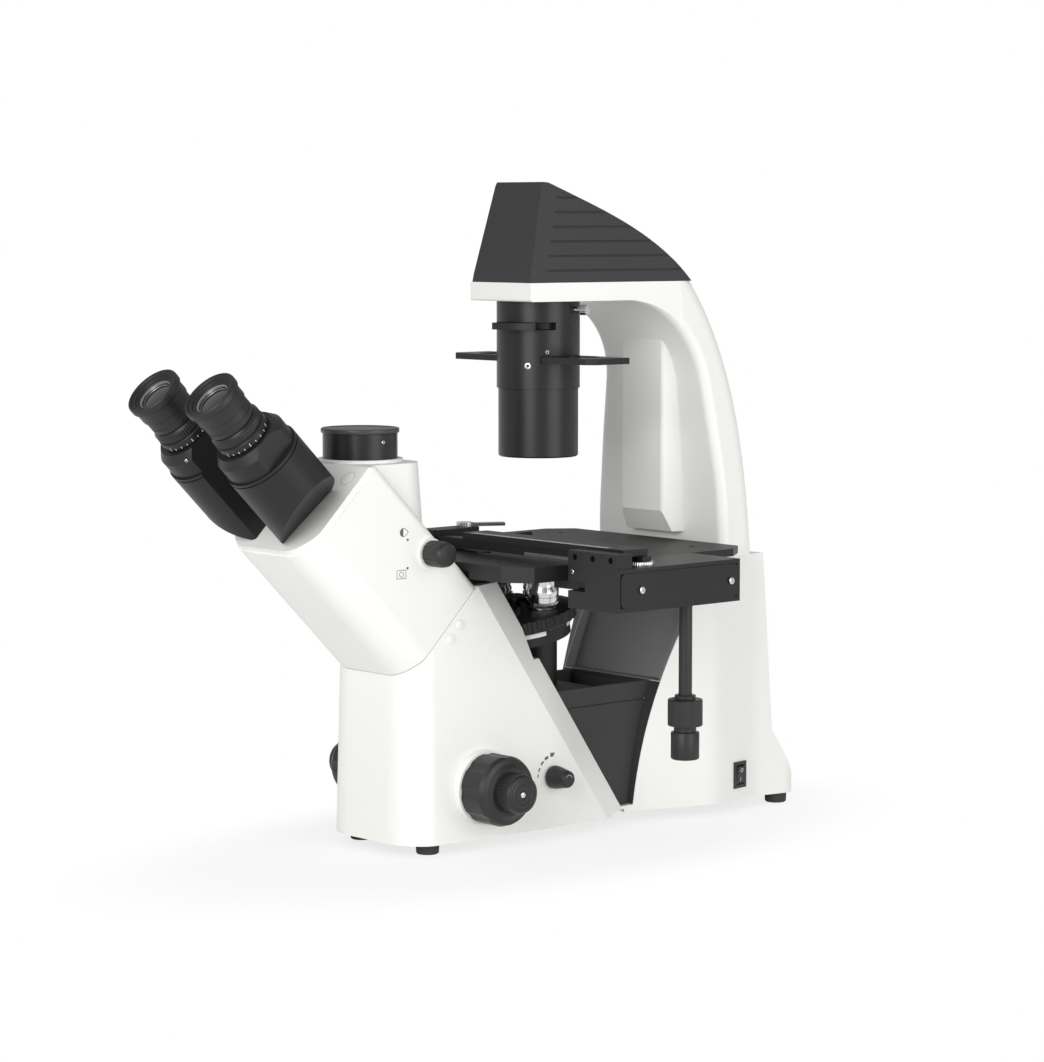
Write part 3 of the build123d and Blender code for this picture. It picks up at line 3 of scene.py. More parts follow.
import bmesh
import bpy
import numpy as np
from bpy.props import FloatProperty, FloatVectorProperty, IntProperty, PointerProperty
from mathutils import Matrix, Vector


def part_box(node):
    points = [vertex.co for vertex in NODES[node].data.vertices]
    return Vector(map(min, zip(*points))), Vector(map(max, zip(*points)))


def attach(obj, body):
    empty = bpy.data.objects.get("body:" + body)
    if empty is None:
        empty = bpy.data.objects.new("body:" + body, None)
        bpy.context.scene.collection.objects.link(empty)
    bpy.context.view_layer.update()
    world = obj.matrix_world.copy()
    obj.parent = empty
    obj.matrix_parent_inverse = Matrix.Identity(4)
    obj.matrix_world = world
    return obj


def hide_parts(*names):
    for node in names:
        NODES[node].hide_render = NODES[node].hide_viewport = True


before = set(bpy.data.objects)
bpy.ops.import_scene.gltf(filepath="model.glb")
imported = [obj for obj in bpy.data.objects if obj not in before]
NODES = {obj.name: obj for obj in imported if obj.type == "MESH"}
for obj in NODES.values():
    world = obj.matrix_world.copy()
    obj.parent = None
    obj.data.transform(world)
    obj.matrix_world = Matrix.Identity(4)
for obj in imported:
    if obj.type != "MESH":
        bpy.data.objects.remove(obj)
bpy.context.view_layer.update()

bl_info = {
    "name": "Inverted microscope looks",
    "version": (1, 0, 0),
    "blender": (4, 5, 0),
    "location": "View3D > Sidebar > Microscope",
    "description": "Finishes and fine detail for an inverted laboratory microscope",
    "category": "Object",
}

# Places are given in millimetres about the optical axis, as the solids are drawn,
# and this moves them to the frame, whose origin is the middle of the footprint.
INSERT_LOW, INSERT_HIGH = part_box("stage_insert")
INSERT_RADIUS = 0.0549
AXIS = np.array([(INSERT_LOW.x + INSERT_HIGH.x) / 2, INSERT_HIGH.y - INSERT_RADIUS, 0.0])

# Directions across, along and up the stand, and those across and along the inclined viewing axis
ROOT_HALF = math.sqrt(0.5)
ALONG_X = np.array([1.0, 0.0, 0.0])
ALONG_Y = np.array([0.0, 1.0, 0.0])
UP = np.array([0.0, 0.0, 1.0])
LEAN_V = np.array([0.0, ROOT_HALF, ROOT_HALF])
LEAN_U = np.array([0.0, -ROOT_HALF, ROOT_HALF])

# Levels along the inclined viewing axis, and the middle of the right eyepiece across it
COLLAR_TOP = 420.004
DIOPTER_TOP = 434.504
EYE_TOP = 461.404
EYE_X = 32.5
EYE_V = 6.692
HEAD_SEAT = 204.354
HEAD_PLATE = 335.504

# Places of round pieces, and the side that each hand stands for
PORT_SPOT = (0.0, -167.5, 0.0)
SELECTOR_SPOT = (0.0, -145.0, 214.5)
FOCUS_SPOT = np.array([0.0, -100.0, 45.0])
BRIGHTNESS_SPOT = np.array([0.0, -34.4, 45.0])
DROP_SPOT = (143.0, 12.0, 0.0)
NUT_SPOT = (153.0, -43.5, 0.0)
HANDS = (("right", 1.0), ("left", -1.0))

# Levels of the port's lid, the inner end of the light-path knob and the flank of the head
LID_LOW, LID_TOP = 297.296, 300.696
SELECTOR_X = 50.8
HEAD_FLANK = 48.0

# Steps round a turned piece, rows along a strip, and ribs of the grips
WIDE_ROUND, SMALL_ROUND, SCREW_ROUND, SHAFT_ROUND, BAND_ROUND = 96, 64, 36, 24, 120
COVER_ROWS, FACING_ROWS, WALL_ROWS = 91, 41, 31
LONG_RIBS, CROSS_RIBS, OBJECTIVE_RIBS, NUT_RIBS = 64, 56, 48, 40

# Heights of printed marks and fine lines, and how far they reach under the surface they lie on
INK, LINE, SUNK = 0.06, 0.05, 0.15
LINE_WIDTH = 0.34

# Where the camera and the lamps stand and what they look at, with the lamps' widths and half the
# floor's in metres, and the share of the floor that shows as plain white
CAMERA_SPOT, CAMERA_AIM = (1782.5, -1598.5, 450.5), (0.0, -15.9, 218.03)
FRONT_SPOT, FRONT_AIM, FRONT_WIDTH = (600.0, -1450.0, 620.0), (0.0, -60.0, 200.0), 0.9
SIDE_SPOT, SIDE_AIM, SIDE_WIDTH = (1750.0, 150.0, 420.0), (0.0, 0.0, 200.0), 1.1
FLOOR_HALF = 9.0
FLOOR_WHITE = 0.78


def place(points):
    """Millimetres about the optical axis to metres in the frame."""
    return np.asarray(points, float) / 1000.0 + AXIS


class MicroscopeColours(bpy.types.PropertyGroup):
    """Paint and plastic colours that a user may change."""
    enamel: FloatVectorProperty(name="Enamel", description="White stove enamel of the castings",
                                subtype="COLOR", size=3, min=0, max=1, default=(0.86, 0.865, 0.83))
    black_metal: FloatVectorProperty(name="Black metal", description="Black anodised and painted metal",
                                     subtype="COLOR", size=3, min=0, max=1, default=(0.016, 0.0165, 0.017))
    moulding: FloatVectorProperty(name="Moulding", description="Black moulded plastic",
                                  subtype="COLOR", size=3, min=0, max=1, default=(0.034, 0.0345, 0.036))
    tray: FloatVectorProperty(name="Tray", description="Dark grey liners in the stand",
                              subtype="COLOR", size=3, min=0, max=1, default=(0.040, 0.041, 0.042))


class MicroscopeDetail(bpy.types.PropertyGroup):
    """Sizes and counts of the fine detail."""
    ring_ribs: IntProperty(name="Focus ring ribs", description="Grip ribs round each eyepiece focus ring",
                           default=60, min=12)
    fine_ribs: IntProperty(name="Fine knob ribs", description="Grip ribs round each fine focus knob",
                           default=36, min=12)
    selector_ribs: IntProperty(name="Selector ribs", description="Grip ribs round the light-path knob",
                               default=20, min=8)
    rule_pitch: FloatProperty(name="Rule pitch",
                              description="Millimetres between the lines of the stage rule",
                              default=1.0, min=0.5)
    seam: FloatProperty(name="Seam", description="Millimetres of dark line where the head meets the stand",
                        default=0.45, min=0.05)


class MicroscopeStage(bpy.types.PropertyGroup):
    """Camera and light."""
    lens: FloatProperty(name="Lens", description="Camera focal length", unit="CAMERA", default=110.75, min=10)
    front: FloatProperty(name="Front light", description="Power of the large front lamp", unit="POWER",
                         default=13.2, min=0)
    side: FloatProperty(name="Side light", description="Power of the large side lamp", unit="POWER",
                        default=12.4, min=0)
    ambient: FloatProperty(name="Ambient", description="Strength of the surrounding light",
                           default=0.48, min=0)


# Surfaces, with the bend in radians past which an edge is sharp and the metres within which points are one
SHARP_EDGE = 0.6
SAME_POINT = 1e-6


def new_object(name, points, faces, body, slot, material):
    """A mesh from places in millimetres and faces, doubled points merged, carried by a body."""
    mesh = bpy.data.meshes.new(name)
    mesh.from_pydata(place(points).tolist(), [], [list(map(int, f)) for f in faces])
    work = bmesh.new()
    work.from_mesh(mesh)
    bmesh.ops.remove_doubles(work, verts=work.verts, dist=SAME_POINT)
    bmesh.ops.recalc_face_normals(work, faces=work.faces)
    work.to_mesh(mesh)
    work.free()
    mesh.polygons.foreach_set("use_smooth", np.ones(len(mesh.polygons), bool))
    mesh.set_sharp_from_angle(angle=SHARP_EDGE)
    mesh.update()
    obj = bpy.data.objects.new(name, mesh)
    bpy.context.scene.collection.objects.link(obj)
    mesh.materials.append(material)
    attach(obj, body)
    return obj


def axes(out):
    """Two directions across a line and the line itself, as rows of a square array."""
    out = np.asarray(out, float) / np.linalg.norm(out)
    side = ALONG_X if abs(out[0]) < 0.9 else ALONG_Y
    side = side - (side @ out) * out
    side = side / np.linalg.norm(side)
    return np.stack([side, np.cross(out, side), out])


def grid_faces(rows, columns, wrap_rows, wrap_columns):
    """Four-cornered faces between neighbours of a grid, closed round in either direction if asked."""
    i, j = np.meshgrid(np.arange(rows if wrap_rows else rows - 1),
                       np.arange(columns if wrap_columns else columns - 1), indexing="ij")
    up, across = (i + 1) % rows, (j + 1) % columns
    corners = [i * columns + j, i * columns + across, up * columns + across, up * columns + j]
    return np.stack(corners, -1).reshape(-1, 4)


def turned(profile, spot, out, count, ribs=0, depth=0.0, closed=False):
    """A profile of (radius, height, share of ribbing) carried round a line through a spot:
    across = r cos a and r sin a, along = height, with r = radius - share depth (1 + cos(ribs a)) / 2."""
    rows = np.array([(*p, 0.0)[:3] for p in profile], float)
    angle = np.linspace(0.0, 2 * math.pi, count, endpoint=False)
    r = rows[:, :1] - rows[:, 2:] * depth * (0.5 + 0.5 * np.cos(ribs * angle))
    local = np.stack([r * np.cos(angle), r * np.sin(angle), np.broadcast_to(rows[:, 1:2], r.shape)], -1)
    points = np.asarray(spot, float) + local.reshape(-1, 3) @ axes(out)
    return points, grid_faces(len(rows), count, closed, True)


def strip(grid):
    """A grid whose columns go once round a bar, with a flat face on each end."""
    rows, columns = grid.shape[:2]
    last = rows * columns
    ends = [list(range(columns)), list(range(last - 1, last - columns - 1, -1))]
    return grid.reshape(-1, 3), grid_faces(rows, columns, False, True).tolist() + ends


def plates(middles, along, across, out, lengths, widths, lift):
    """Thin flat-topped plates: each middle plus and minus half a length and half a width, from just
    under the surface to a lift above it. One direction, length or width may serve for all."""
    middles = np.asarray(middles, float)
    along, across, out = (np.broadcast_to(v, middles.shape) for v in (along, across, out))
    a = along * np.broadcast_to(lengths, len(middles))[:, None] / 2
    b = across * np.broadcast_to(widths, len(middles))[:, None] / 2
    ring = np.stack([-a - b, a - b, a + b, -a + b], 1) + middles[:, None]
    out = out[:, None]
    points = np.stack([ring - SUNK * out, ring + lift * out], 1).reshape(-1, 3)
    box = np.array([[0, 3, 2, 1], [4, 5, 6, 7], [0, 1, 5, 4], [1, 2, 6, 5], [2, 3, 7, 6], [3, 0, 4, 7]])
    faces = (np.arange(len(middles))[:, None, None] * 8 + box).reshape(-1, 4)
    return points, faces


def sector(spot, frame_rows, inner, outer, start, stop, lift, count=24):
    """Flat piece of a ring: radius from inner to outer, angle from start to stop in degrees, with a
    low wall down to the surface all round."""
    angle = np.radians(np.linspace(start, stop, count))
    rows = np.array([(inner, -SUNK), (inner, lift), (outer, lift), (outer, -SUNK)])
    local = np.stack([rows[:, :1] * np.cos(angle), rows[:, :1] * np.sin(angle),
                      np.broadcast_to(rows[:, 1:2], (4, count))], -1)
    points = np.asarray(spot, float) + local.reshape(-1, 3) @ frame_rows
    ends = np.array([[0, count, 2 * count, 3 * count],
                     [count - 1, 4 * count - 1, 3 * count - 1, 2 * count - 1]])
    return points, np.concatenate([grid_faces(4, count, True, False), ends])


def joined(forms):
    """Several forms as one set of points and faces."""
    shift = np.cumsum([0] + [len(p) for p, f in forms])
    return np.concatenate([p for p, f in forms]), np.concatenate([f + s for (p, f), s in zip(forms, shift)])


def rounded_path(corners, radii, count=12):
    """Open path through corners with each inner corner replaced by an arc: the arc's middle lies on the
    corner's bisector, and its ends are radius / tan(half the corner) from the corner."""
    corners = np.asarray(corners, float)
    before, here, after = corners[:-2], corners[1:-1], corners[2:]
    a = (before - here) / np.linalg.norm(before - here, axis=1)[:, None]
    b = (after - here) / np.linalg.norm(after - here, axis=1)[:, None]
    half = np.arccos(np.clip((a * b).sum(1), -1, 1)) / 2
    radii = np.asarray(radii, float)
    middle = here + ((a + b) / np.linalg.norm(a + b, axis=1)[:, None]) * (radii / np.sin(half))[:, None]
    first = here + a * (radii / np.tan(half))[:, None] - middle
    last = here + b * (radii / np.tan(half))[:, None] - middle
    share = np.linspace(0, 1, count)[None, :, None]
    sweep = first[:, None] * (1 - share) + last[:, None] * share
    sweep *= radii[:, None, None] / np.linalg.norm(sweep, axis=2)[:, :, None]
    arcs = (middle[:, None] + sweep).reshape(-1, 2)
    return np.concatenate([corners[:1], arcs, corners[-1:]])


# Materials
def finish(name, colour, rough, grain, bump, metallic=0.0, tone=0.04, spread=0.06, coat=0.0, specular=0.5):
    """A surface whose tone, gloss and fine relief wander with two sizes of noise on the object's axes."""
    mat = bpy.data.materials.new(name)
    mat.use_nodes = True
    nodes, links = mat.node_tree.nodes, mat.node_tree.links
    shader = nodes["Principled BSDF"]
    coords = nodes.new("ShaderNodeTexCoord")
    cloud = nodes.new("ShaderNodeTexNoise")
    cloud.inputs["Scale"].default_value = 14.0
    cloud.inputs["Detail"].default_value = 4.0
    links.new(coords.outputs["Object"], cloud.inputs["Vector"])
    tint = nodes.new("ShaderNodeMix")
    tint.data_type = "RGBA"
    tint.inputs["A"].default_value = (*[c * (1 - tone) for c in colour], 1)
    tint.inputs["B"].default_value = (*[min(1.0, c * (1 + tone)) for c in colour], 1)
    links.new(cloud.outputs["Fac"], tint.inputs["Factor"])
    links.new(tint.outputs["Result"], shader.inputs["Base Color"])
    speck = nodes.new("ShaderNodeTexNoise")
    speck.inputs["Scale"].default_value = grain
    speck.inputs["Detail"].default_value = 3.0
    links.new(coords.outputs["Object"], speck.inputs["Vector"])
    gloss = nodes.new("ShaderNodeMapRange")
    gloss.inputs["To Min"].default_value = rough - spread
    gloss.inputs["To Max"].default_value = rough + spread
    links.new(speck.outputs["Fac"], gloss.inputs["Value"])
    links.new(gloss.outputs["Result"], shader.inputs["Roughness"])
    relief = nodes.new("ShaderNodeBump")
    relief.inputs["Strength"].default_value = bump
    relief.inputs["Distance"].default_value = 0.0004
    links.new(speck.outputs["Fac"], relief.inputs["Height"])
    links.new(relief.outputs["Normal"], shader.inputs["Normal"])
    shader.inputs["Metallic"].default_value = metallic
    shader.inputs["Coat Weight"].default_value = coat
    shader.inputs["Specular IOR Level"].default_value = specular
    return mat


FINISHES = {}


def make_finishes():
    """The object's finishes by short name."""
    c = bpy.context.scene.microscope_colours
    FINISHES.update({
        "enamel": finish("white_enamel", tuple(c.enamel), 0.42, 900.0, 0.10, tone=0.012),
        "plate": finish("white_trim", (0.86, 0.865, 0.84), 0.40, 1400.0, 0.05, tone=0.01),
        "black": finish("black_enamel", tuple(c.black_metal), 0.42, 1600.0, 0.15, tone=0.10, specular=0.28),
        "lid": finish("lid_satin", (0.050, 0.052, 0.052), 0.36, 2200.0, 0.08, tone=0.06, specular=0.35),
        "satin": finish("black_anodised", (0.016, 0.016, 0.017), 0.32, 2200.0, 0.08, tone=0.08,
                        specular=0.30),
        "moulding": finish("black_moulding", tuple(c.moulding), 0.55, 2600.0, 0.50, tone=0.10, specular=0.35),
        "grip": finish("grip_plastic", (0.018, 0.018, 0.019), 0.40, 1800.0, 0.20, tone=0.10, specular=0.4),
        "tray": finish("tray_plastic", tuple(c.tray), 0.60, 1800.0, 0.35, tone=0.08, specular=0.3),
        # Dark grey for the column's front under the stage and for the sheets round its hollow
        "recess": finish("recess_dark_grey", (0.27, 0.27, 0.27), 0.60, 1800.0, 0.30, tone=0.06, specular=0.3),
        "stage": finish("stage_enamel", (0.020, 0.0205, 0.021), 0.46, 1500.0, 0.25, tone=0.06, specular=0.25),
        "rubber": finish("foot_rubber", (0.045, 0.046, 0.044), 0.80, 1200.0, 0.40, tone=0.10, specular=0.3),
        "eyecup": finish("eyecup_rubber", (0.013, 0.013, 0.0135), 0.48, 1500.0, 0.25, tone=0.10,
                         specular=0.45),
        "chrome": finish("satin_chrome", (0.66, 0.66, 0.66), 0.16, 700.0, 0.03, metallic=1.0),
        "steel": finish("turned_aluminium", (0.55, 0.55, 0.56), 0.32, 900.0, 0.10, metallic=1.0),
        "brass": finish("cut_brass", (0.60, 0.44, 0.18), 0.30, 900.0, 0.10, metallic=1.0),
        "board": finish("circuit_board", (0.02, 0.11, 0.05), 0.45, 400.0, 0.20, tone=0.3),
        "glass": finish("coated_glass", (0.010, 0.013, 0.016), 0.05, 300.0, 0.0, tone=0.3, spread=0.02,
                        coat=1.0),
        "white_ink": finish("white_ink", (0.72, 0.72, 0.71), 0.55, 2400.0, 0.05, tone=0.05),
        "dark_ink": finish("dark_ink", (0.10, 0.105, 0.10), 0.55, 2400.0, 0.05, tone=0.06),
        "seam": finish("seam_shade", (0.40, 0.40, 0.39), 0.70, 2400.0, 0.05, tone=0.06, specular=0.2),
    })
    return FINISHES


NODE_FINISH = {
    "main_casting": "enamel", "bottom_cover": "black", "rubber_feet": "rubber", "casting_plugs": "plate",
    "notch_liner": "tray", "column_liner": "recess", "illumination_arm": "enamel",
    "lamp_house_cover": "moulding", "lamp_module": "steel", "lamp_lenses": "glass",
    "condenser_body": "satin", "condenser_clamp": "chrome", "aperture_lever": "black",
    "phase_slider": "satin", "head_casting": "enamel", "head_face_plate": "enamel",
    "photo_port_tube": "satin", "photo_port_cap": "satin", "light_path_ring": "plate",
    "light_path_knob": "grip", "light_path_shaft": "steel", "beam_prism": "glass", "binocular_hub": "satin",
    "right_tube_housing": "black", "left_tube_housing": "black", "right_diopter_ring": "satin",
    "left_diopter_ring": "satin", "right_eyepiece": "satin", "left_eyepiece": "satin",
    "right_eye_lens": "glass", "left_eye_lens": "glass", "focus_flanges": "plate",
    "focus_tension_ring": "grip", "coarse_knobs": "grip", "coarse_shaft": "steel", "fine_knobs": "grip",
    "focus_rack": "brass", "nosepiece_carriage": "black", "turret": "black", "objectives": "chrome",
    "turret_plug": "moulding", "beam_mirror": "steel", "relay_tube": "steel", "stage_plate": "stage",
    "stage_insert": "stage", "stage_supports": "black", "y_guide": "black", "y_carriage": "black",
    "carriage_cover": "black", "x_bar": "black", "specimen_holder": "black", "holder_finger": "chrome",
    "y_knob": "grip", "x_knob": "grip", "brightness_knob": "grip", "dimmer_control": "steel",
    "switch_frame": "moulding", "switch_rocker": "moulding", "mains_inlet": "moulding",
    "power_board": "board",
}


class MICROSCOPE_OT_finishes(bpy.types.Operator):
    """Give every solid its paint, plastic, metal or glass"""
    bl_idname = "microscope.finishes"
    bl_label = "Finishes"

    def execute(self, context):
        made = make_finishes()
        for node, solid in NODES.items():
            solid.data.materials.clear()
            solid.data.materials.append(made[NODE_FINISH[node]])
        return {"FINISHED"}


# Eyepieces
RING_BAND = 19.3


def eyepiece_profile():
    """Barrel, body with a groove, and a flat cup with a rim and a stepped throat, as one loop."""
    d, e = DIOPTER_TOP, EYE_TOP
    barrel = [(12.6, d - 40), (15.0, d - 40), (15.0, d), (16.4, d), (17.4, d + 0.9), (17.5, d + 1.2),
              (17.5, d + 4.6), (17.1, d + 4.9), (17.1, d + 5.5), (17.5, d + 5.8), (17.5, e - 15.6)]
    cup = [(18.0, e - 15.5), (18.4, e - 15.1), (18.5, e - 14.4), (18.5, e - 6.4), (18.7, e - 6.0),
           (19.6, e - 5.6), (20.0, e - 5.1), (20.0, e - 1.4), (19.7, e - 0.5), (19.1, e), (18.3, e),
           (17.8, e - 0.3)]
    throat = [(17.5, e - 1.2), (17.2, e - 1.5), (15.6, e - 1.7), (15.2, e - 2.0), (15.0, e - 2.8),
              (14.7, e - 3.1), (13.0, e - 3.3), (12.6, e - 3.8)]
    return barrel + cup + throat


def ring_profile():
    """Focus ring in two steps: a plain lower band for the marks and a ribbed upper band, as one loop."""
    low, top, band = COLLAR_TOP + 0.3, DIOPTER_TOP, RING_BAND
    return [(15.0, low), (18.6, low), (band, low + 0.7), (band, low + 5.6), (18.7, low + 6.2),
            (17.8, low + 6.6), (17.8, low + 7.6), (18.7, low + 8.0), (18.9, low + 8.4, 1.0),
            (18.9, low + 11.8, 1.0), (18.5, low + 12.4), (17.2, top), (15.0, top)]


class MICROSCOPE_OT_eyepieces(bpy.types.Operator):
    """Eyepieces with flat cups, domed lenses, ribbed focus rings and their marks"""
    bl_idname = "microscope.eyepieces"
    bl_label = "Eyepieces"

    def execute(self, context):
        detail = context.scene.microscope_detail
        for hand, sign in HANDS:
            body = hand + "_ocular"
            spot = sign * EYE_X * ALONG_X + EYE_V * LEAN_V
            form = turned(eyepiece_profile(), spot, LEAN_U, WIDE_ROUND, closed=True)
            cup = new_object(hand + "_eyepiece_body", *form, body, "black_enamel", FINISHES["eyecup"])
            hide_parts(hand + "_eyepiece")
            e = EYE_TOP
            dome = [(0.0, e - 14.0), (12.5, e - 14.0), (12.5, e - 6.8), (11.0, e - 6.0), (8.5, e - 5.3),
                    (5.0, e - 4.8), (2.0, e - 4.6), (0.0, e - 4.55)]
            form = turned(dome, spot, LEAN_U, SMALL_ROUND)
            lens = new_object(hand + "_eye_glass", *form, body, "optical_glass", FINISHES["glass"])
            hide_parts(hand + "_eye_lens")
            hold = [(11.6, e - 5.9), (11.9, e - 4.6), (12.55, e - 4.3), (12.55, e - 6.5)]
            form = turned(hold, spot, LEAN_U, SMALL_ROUND, closed=True)
            new_object(hand + "_lens_ring", *form, body, "satin_aluminium", FINISHES["steel"])
            ribs = detail.ring_ribs
            form = turned(ring_profile(), spot, LEAN_U, 6 * ribs, ribs, 0.45, closed=True)
            ring = new_object(hand + "_focus_ring", *form, body, "black_enamel", FINISHES["satin"])
            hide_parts(hand + "_diopter_ring")
            angle = np.radians(np.arange(-84.0, 30.0, 14.0))
            radial = np.cos(angle)[:, None] * ALONG_X + np.sin(angle)[:, None] * LEAN_V
            around = np.cos(angle)[:, None] * LEAN_V - np.sin(angle)[:, None] * ALONG_X
            length = np.where(np.arange(len(angle)) % 4 == 0, 2.6, 1.5)
            middles = spot + RING_BAND * radial + (COLLAR_TOP + 1.3 + length / 2)[:, None] * LEAN_U
            marks = plates(middles, LEAN_U, around, radial, length, 0.45, INK)
            new_object(hand + "_focus_marks", *marks, body, "white_plastic", FINISHES["white_ink"])
        return {"FINISHED"}


# Small screws
def screw_head(spot, out, r):
    """Cheese head with a six-lobed socket: the socket's radius follows r - depth (1 + cos(6 a)) / 2."""
    rows = [(r, -0.3), (r, 0.35), (0.82 * r, 0.6), (0.60 * r, 0.6, 1.0), (0.55 * r, -0.05, 1.0), (0.0, -0.1)]
    return turned(rows, spot, out, SCREW_ROUND, 6, 0.16 * r)


class MICROSCOPE_OT_screws(bpy.types.Operator):
    """Bright set screws and cover screws"""
    bl_idname = "microscope.screws"
    bl_label = "Screws"

    def execute(self, context):
        left = -EYE_X * ALONG_X + EYE_V * LEAN_V
        across = 0.571 * ALONG_X - 0.821 * LEAN_V
        condenser = [(np.array([26.53, -15.07, 349.8]), 1.5), (np.array([16.96, -25.35, 339.9]), 2.5)]
        flat = np.array([1.0, 1.0, 0.0])
        groups = {
            "condenser_screws": ("stand", [screw_head(p, p * flat, r) for p, r in condenser]),
            "port_screw": ("stand", [screw_head((26.29, -168.1, 291.6), (1.0, -0.02, 0.0), 1.3)]),
            "tube_screw": ("left_tube", [screw_head(left + 415.1 * LEAN_U + 25.75 * across, across, 1.3)]),
            "cover_screws": ("y_stage", [screw_head((168.75, y, 192.0), ALONG_X, 2.45)
                                         for y in (-55.0, 32.0)]),
            "gib_screw": ("y_stage", [screw_head((121.5, -77.0, 202.6), -ALONG_Y, 1.6)]),
        }
        for name, (body, forms) in groups.items():
            new_object(name, *joined(forms), body, "bright_chrome", FINISHES["chrome"])
        return {"FINISHED"}


# Head
def flank_marks():
    """Plain pictures beside the light-path knob: a half-dark eye, a camera, and a dot for each."""
    rows = np.stack([ALONG_Y, UP, ALONG_X])
    face = HEAD_FLANK
    eye, shot = np.array([face, -168.2, 230.3]), np.array([face, -170.0, 201.2])
    dots = ((face, -164.3, 225.0), (face, -164.5, 205.3))
    forms = [sector(dot, rows, 0.01, 0.95, 0, 360, INK) for dot in dots]
    forms += [sector(eye, rows, 2.7, 3.1, 50, 310, INK), sector(eye, rows, 0.01, 2.8, 90, 270, LINE),
              sector(shot, rows, 1.6, 2.0, 0, 360, INK)]
    along = np.array([[0, 0.72, 0.69], [0, 0.72, -0.69], [0, 1, 0], [0, 1, 0], [0, 0, 1], [0, 0, 1]], float)
    across = np.cross(along, ALONG_X)
    middles = np.stack([eye + (0, 3.3, -1.2), eye + (0, 3.3, 1.2), shot + (0, 0, 2.9), shot - (0, 0, 2.9),
                        shot + (0, 4.0, 0), shot - (0, 4.0, 0)])
    forms.append(plates(middles, along, across, ALONG_X, [3.4, 3.4, 8.4, 8.4, 6.2, 6.2], 0.4, INK))
    return joined(forms)


def seam_form(height):
    """Thin band where the head meets the stand: the rounded outline of the seat, and the same outline drawn
    in a little towards the axis, both carried along the axis by the band's height."""
    half, front = 48.06, -24.06
    corners = [(-half, 60), (-half, -8), (-33, front), (33, front), (half, -8), (half, 60)]
    path = rounded_path(corners, [16.0, 26.0, 26.0, 16.0])
    rim = path[:, :1] * ALONG_X + path[:, 1:] * LEAN_V
    inward = -path / np.linalg.norm(path, axis=1)[:, None]
    inner = rim + 0.3 * (inward[:, :1] * ALONG_X + inward[:, 1:] * LEAN_V)
    low, high = HEAD_SEAT * LEAN_U, (HEAD_SEAT + height) * LEAN_U
    points = np.concatenate([inner + low, rim + low, rim + high, inner + high])
    return points, grid_faces(4, len(rim), True, False)


class MICROSCOPE_OT_head(bpy.types.Operator):
    """Port cap, light-path knob, seam, plug and plain marks of the viewing head"""
    bl_idname = "microscope.head"
    bl_label = "Head"

    def execute(self, context):
        detail = context.scene.microscope_detail
        low, top = LID_LOW, LID_TOP
        lid = [(0.0, top - 0.5), (24.4, top - 0.5), (25.1, top), (26.8, top), (27.4, top - 0.4),
               (27.6, top - 1.0), (27.6, low + 0.7), (27.2, low), (18.7, low), (18.7, low - 8),
               (16.0, low - 8), (16.0, low - 1), (0.0, low - 1)]
        form = turned(lid, PORT_SPOT, UP, WIDE_ROUND)
        cap = new_object("port_lid", *form, "photo_cap", "black_plastic", FINISHES["lid"])
        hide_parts("photo_port_cap")
        x, ribs = SELECTOR_X, detail.selector_ribs
        grip = [(0.0, x), (8.5, x), (9.0, x + 0.6), (9.2, x + 1.0, 1.0), (9.2, x + 12.5, 1.0),
                (8.9, x + 14.5, 0.3), (8.3, x + 16.6), (7.2, x + 17.7), (5.5, x + 18.0), (0.0, x + 18.0)]
        form = turned(grip, SELECTOR_SPOT, ALONG_X, 6 * ribs, ribs, 0.5)
        knob = new_object("selector_knob", *form, "light_path", "black_plastic", FINISHES["grip"])
        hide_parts("light_path_knob")
        form = seam_form(detail.seam)
        new_object("head_seam", *form, "stand", "white_enamel", FINISHES["seam"])
        spot = 33.5 * ALONG_X + 45.1 * LEAN_V
        h = HEAD_PLATE
        plug = [(0.0, h + 0.35), (5.0, h + 0.3), (5.5, h + 0.12), (5.6, h - 0.2), (0.0, h - 0.2)]
        form = turned(plug, spot, LEAN_U, SMALL_ROUND)
        new_object("face_plug", *form, "stand", "white_plastic", FINISHES["plate"])
        edge = [(5.6, h - 0.2), (5.6, h + 0.04), (5.95, h + 0.04), (5.95, h - 0.2)]
        form = turned(edge, spot, LEAN_U, SMALL_ROUND, closed=True)
        new_object("face_plug_edge", *form, "stand", "white_plastic", FINISHES["seam"])
        new_object("path_marks", *flank_marks(), "stand", "white_plastic", FINISHES["dark_ink"])
        return {"FINISHED"}


# Focus and controls
def fine_knob_form(spot, out, start, ribs):
    """Ribbed knob with a rounded end, two shallow rings in its face and an open middle for the screw."""
    end = start + 13.0
    rows = [(0.0, start), (14.0, start), (14.2, start + 0.4, 1.0), (14.2, end - 3.6, 1.0),
            (14.0, end - 2.4, 0.3), (13.3, end - 0.9), (12.2, end - 0.1), (10.9, end), (10.4, end - 0.35),
            (9.9, end - 0.35), (9.5, end - 0.1), (7.6, end - 0.1), (7.2, end - 0.5), (6.7, end - 0.5),
            (6.3, end - 0.2), (3.2, end - 0.2), (2.9, end - 0.9), (0.0, end - 0.9)]
    return turned(rows, spot, out, 6 * ribs, ribs, 0.55)


def stand_flank(y, z):
    """Half-width of the stand: 52 at the front foot, 0.033 more for each step back, and less upwards by a
    draft of 1.5 degrees."""
    return 52.0 + (y + 149.0) * 0.033 - (z - 8.0) * math.tan(math.radians(1.5))


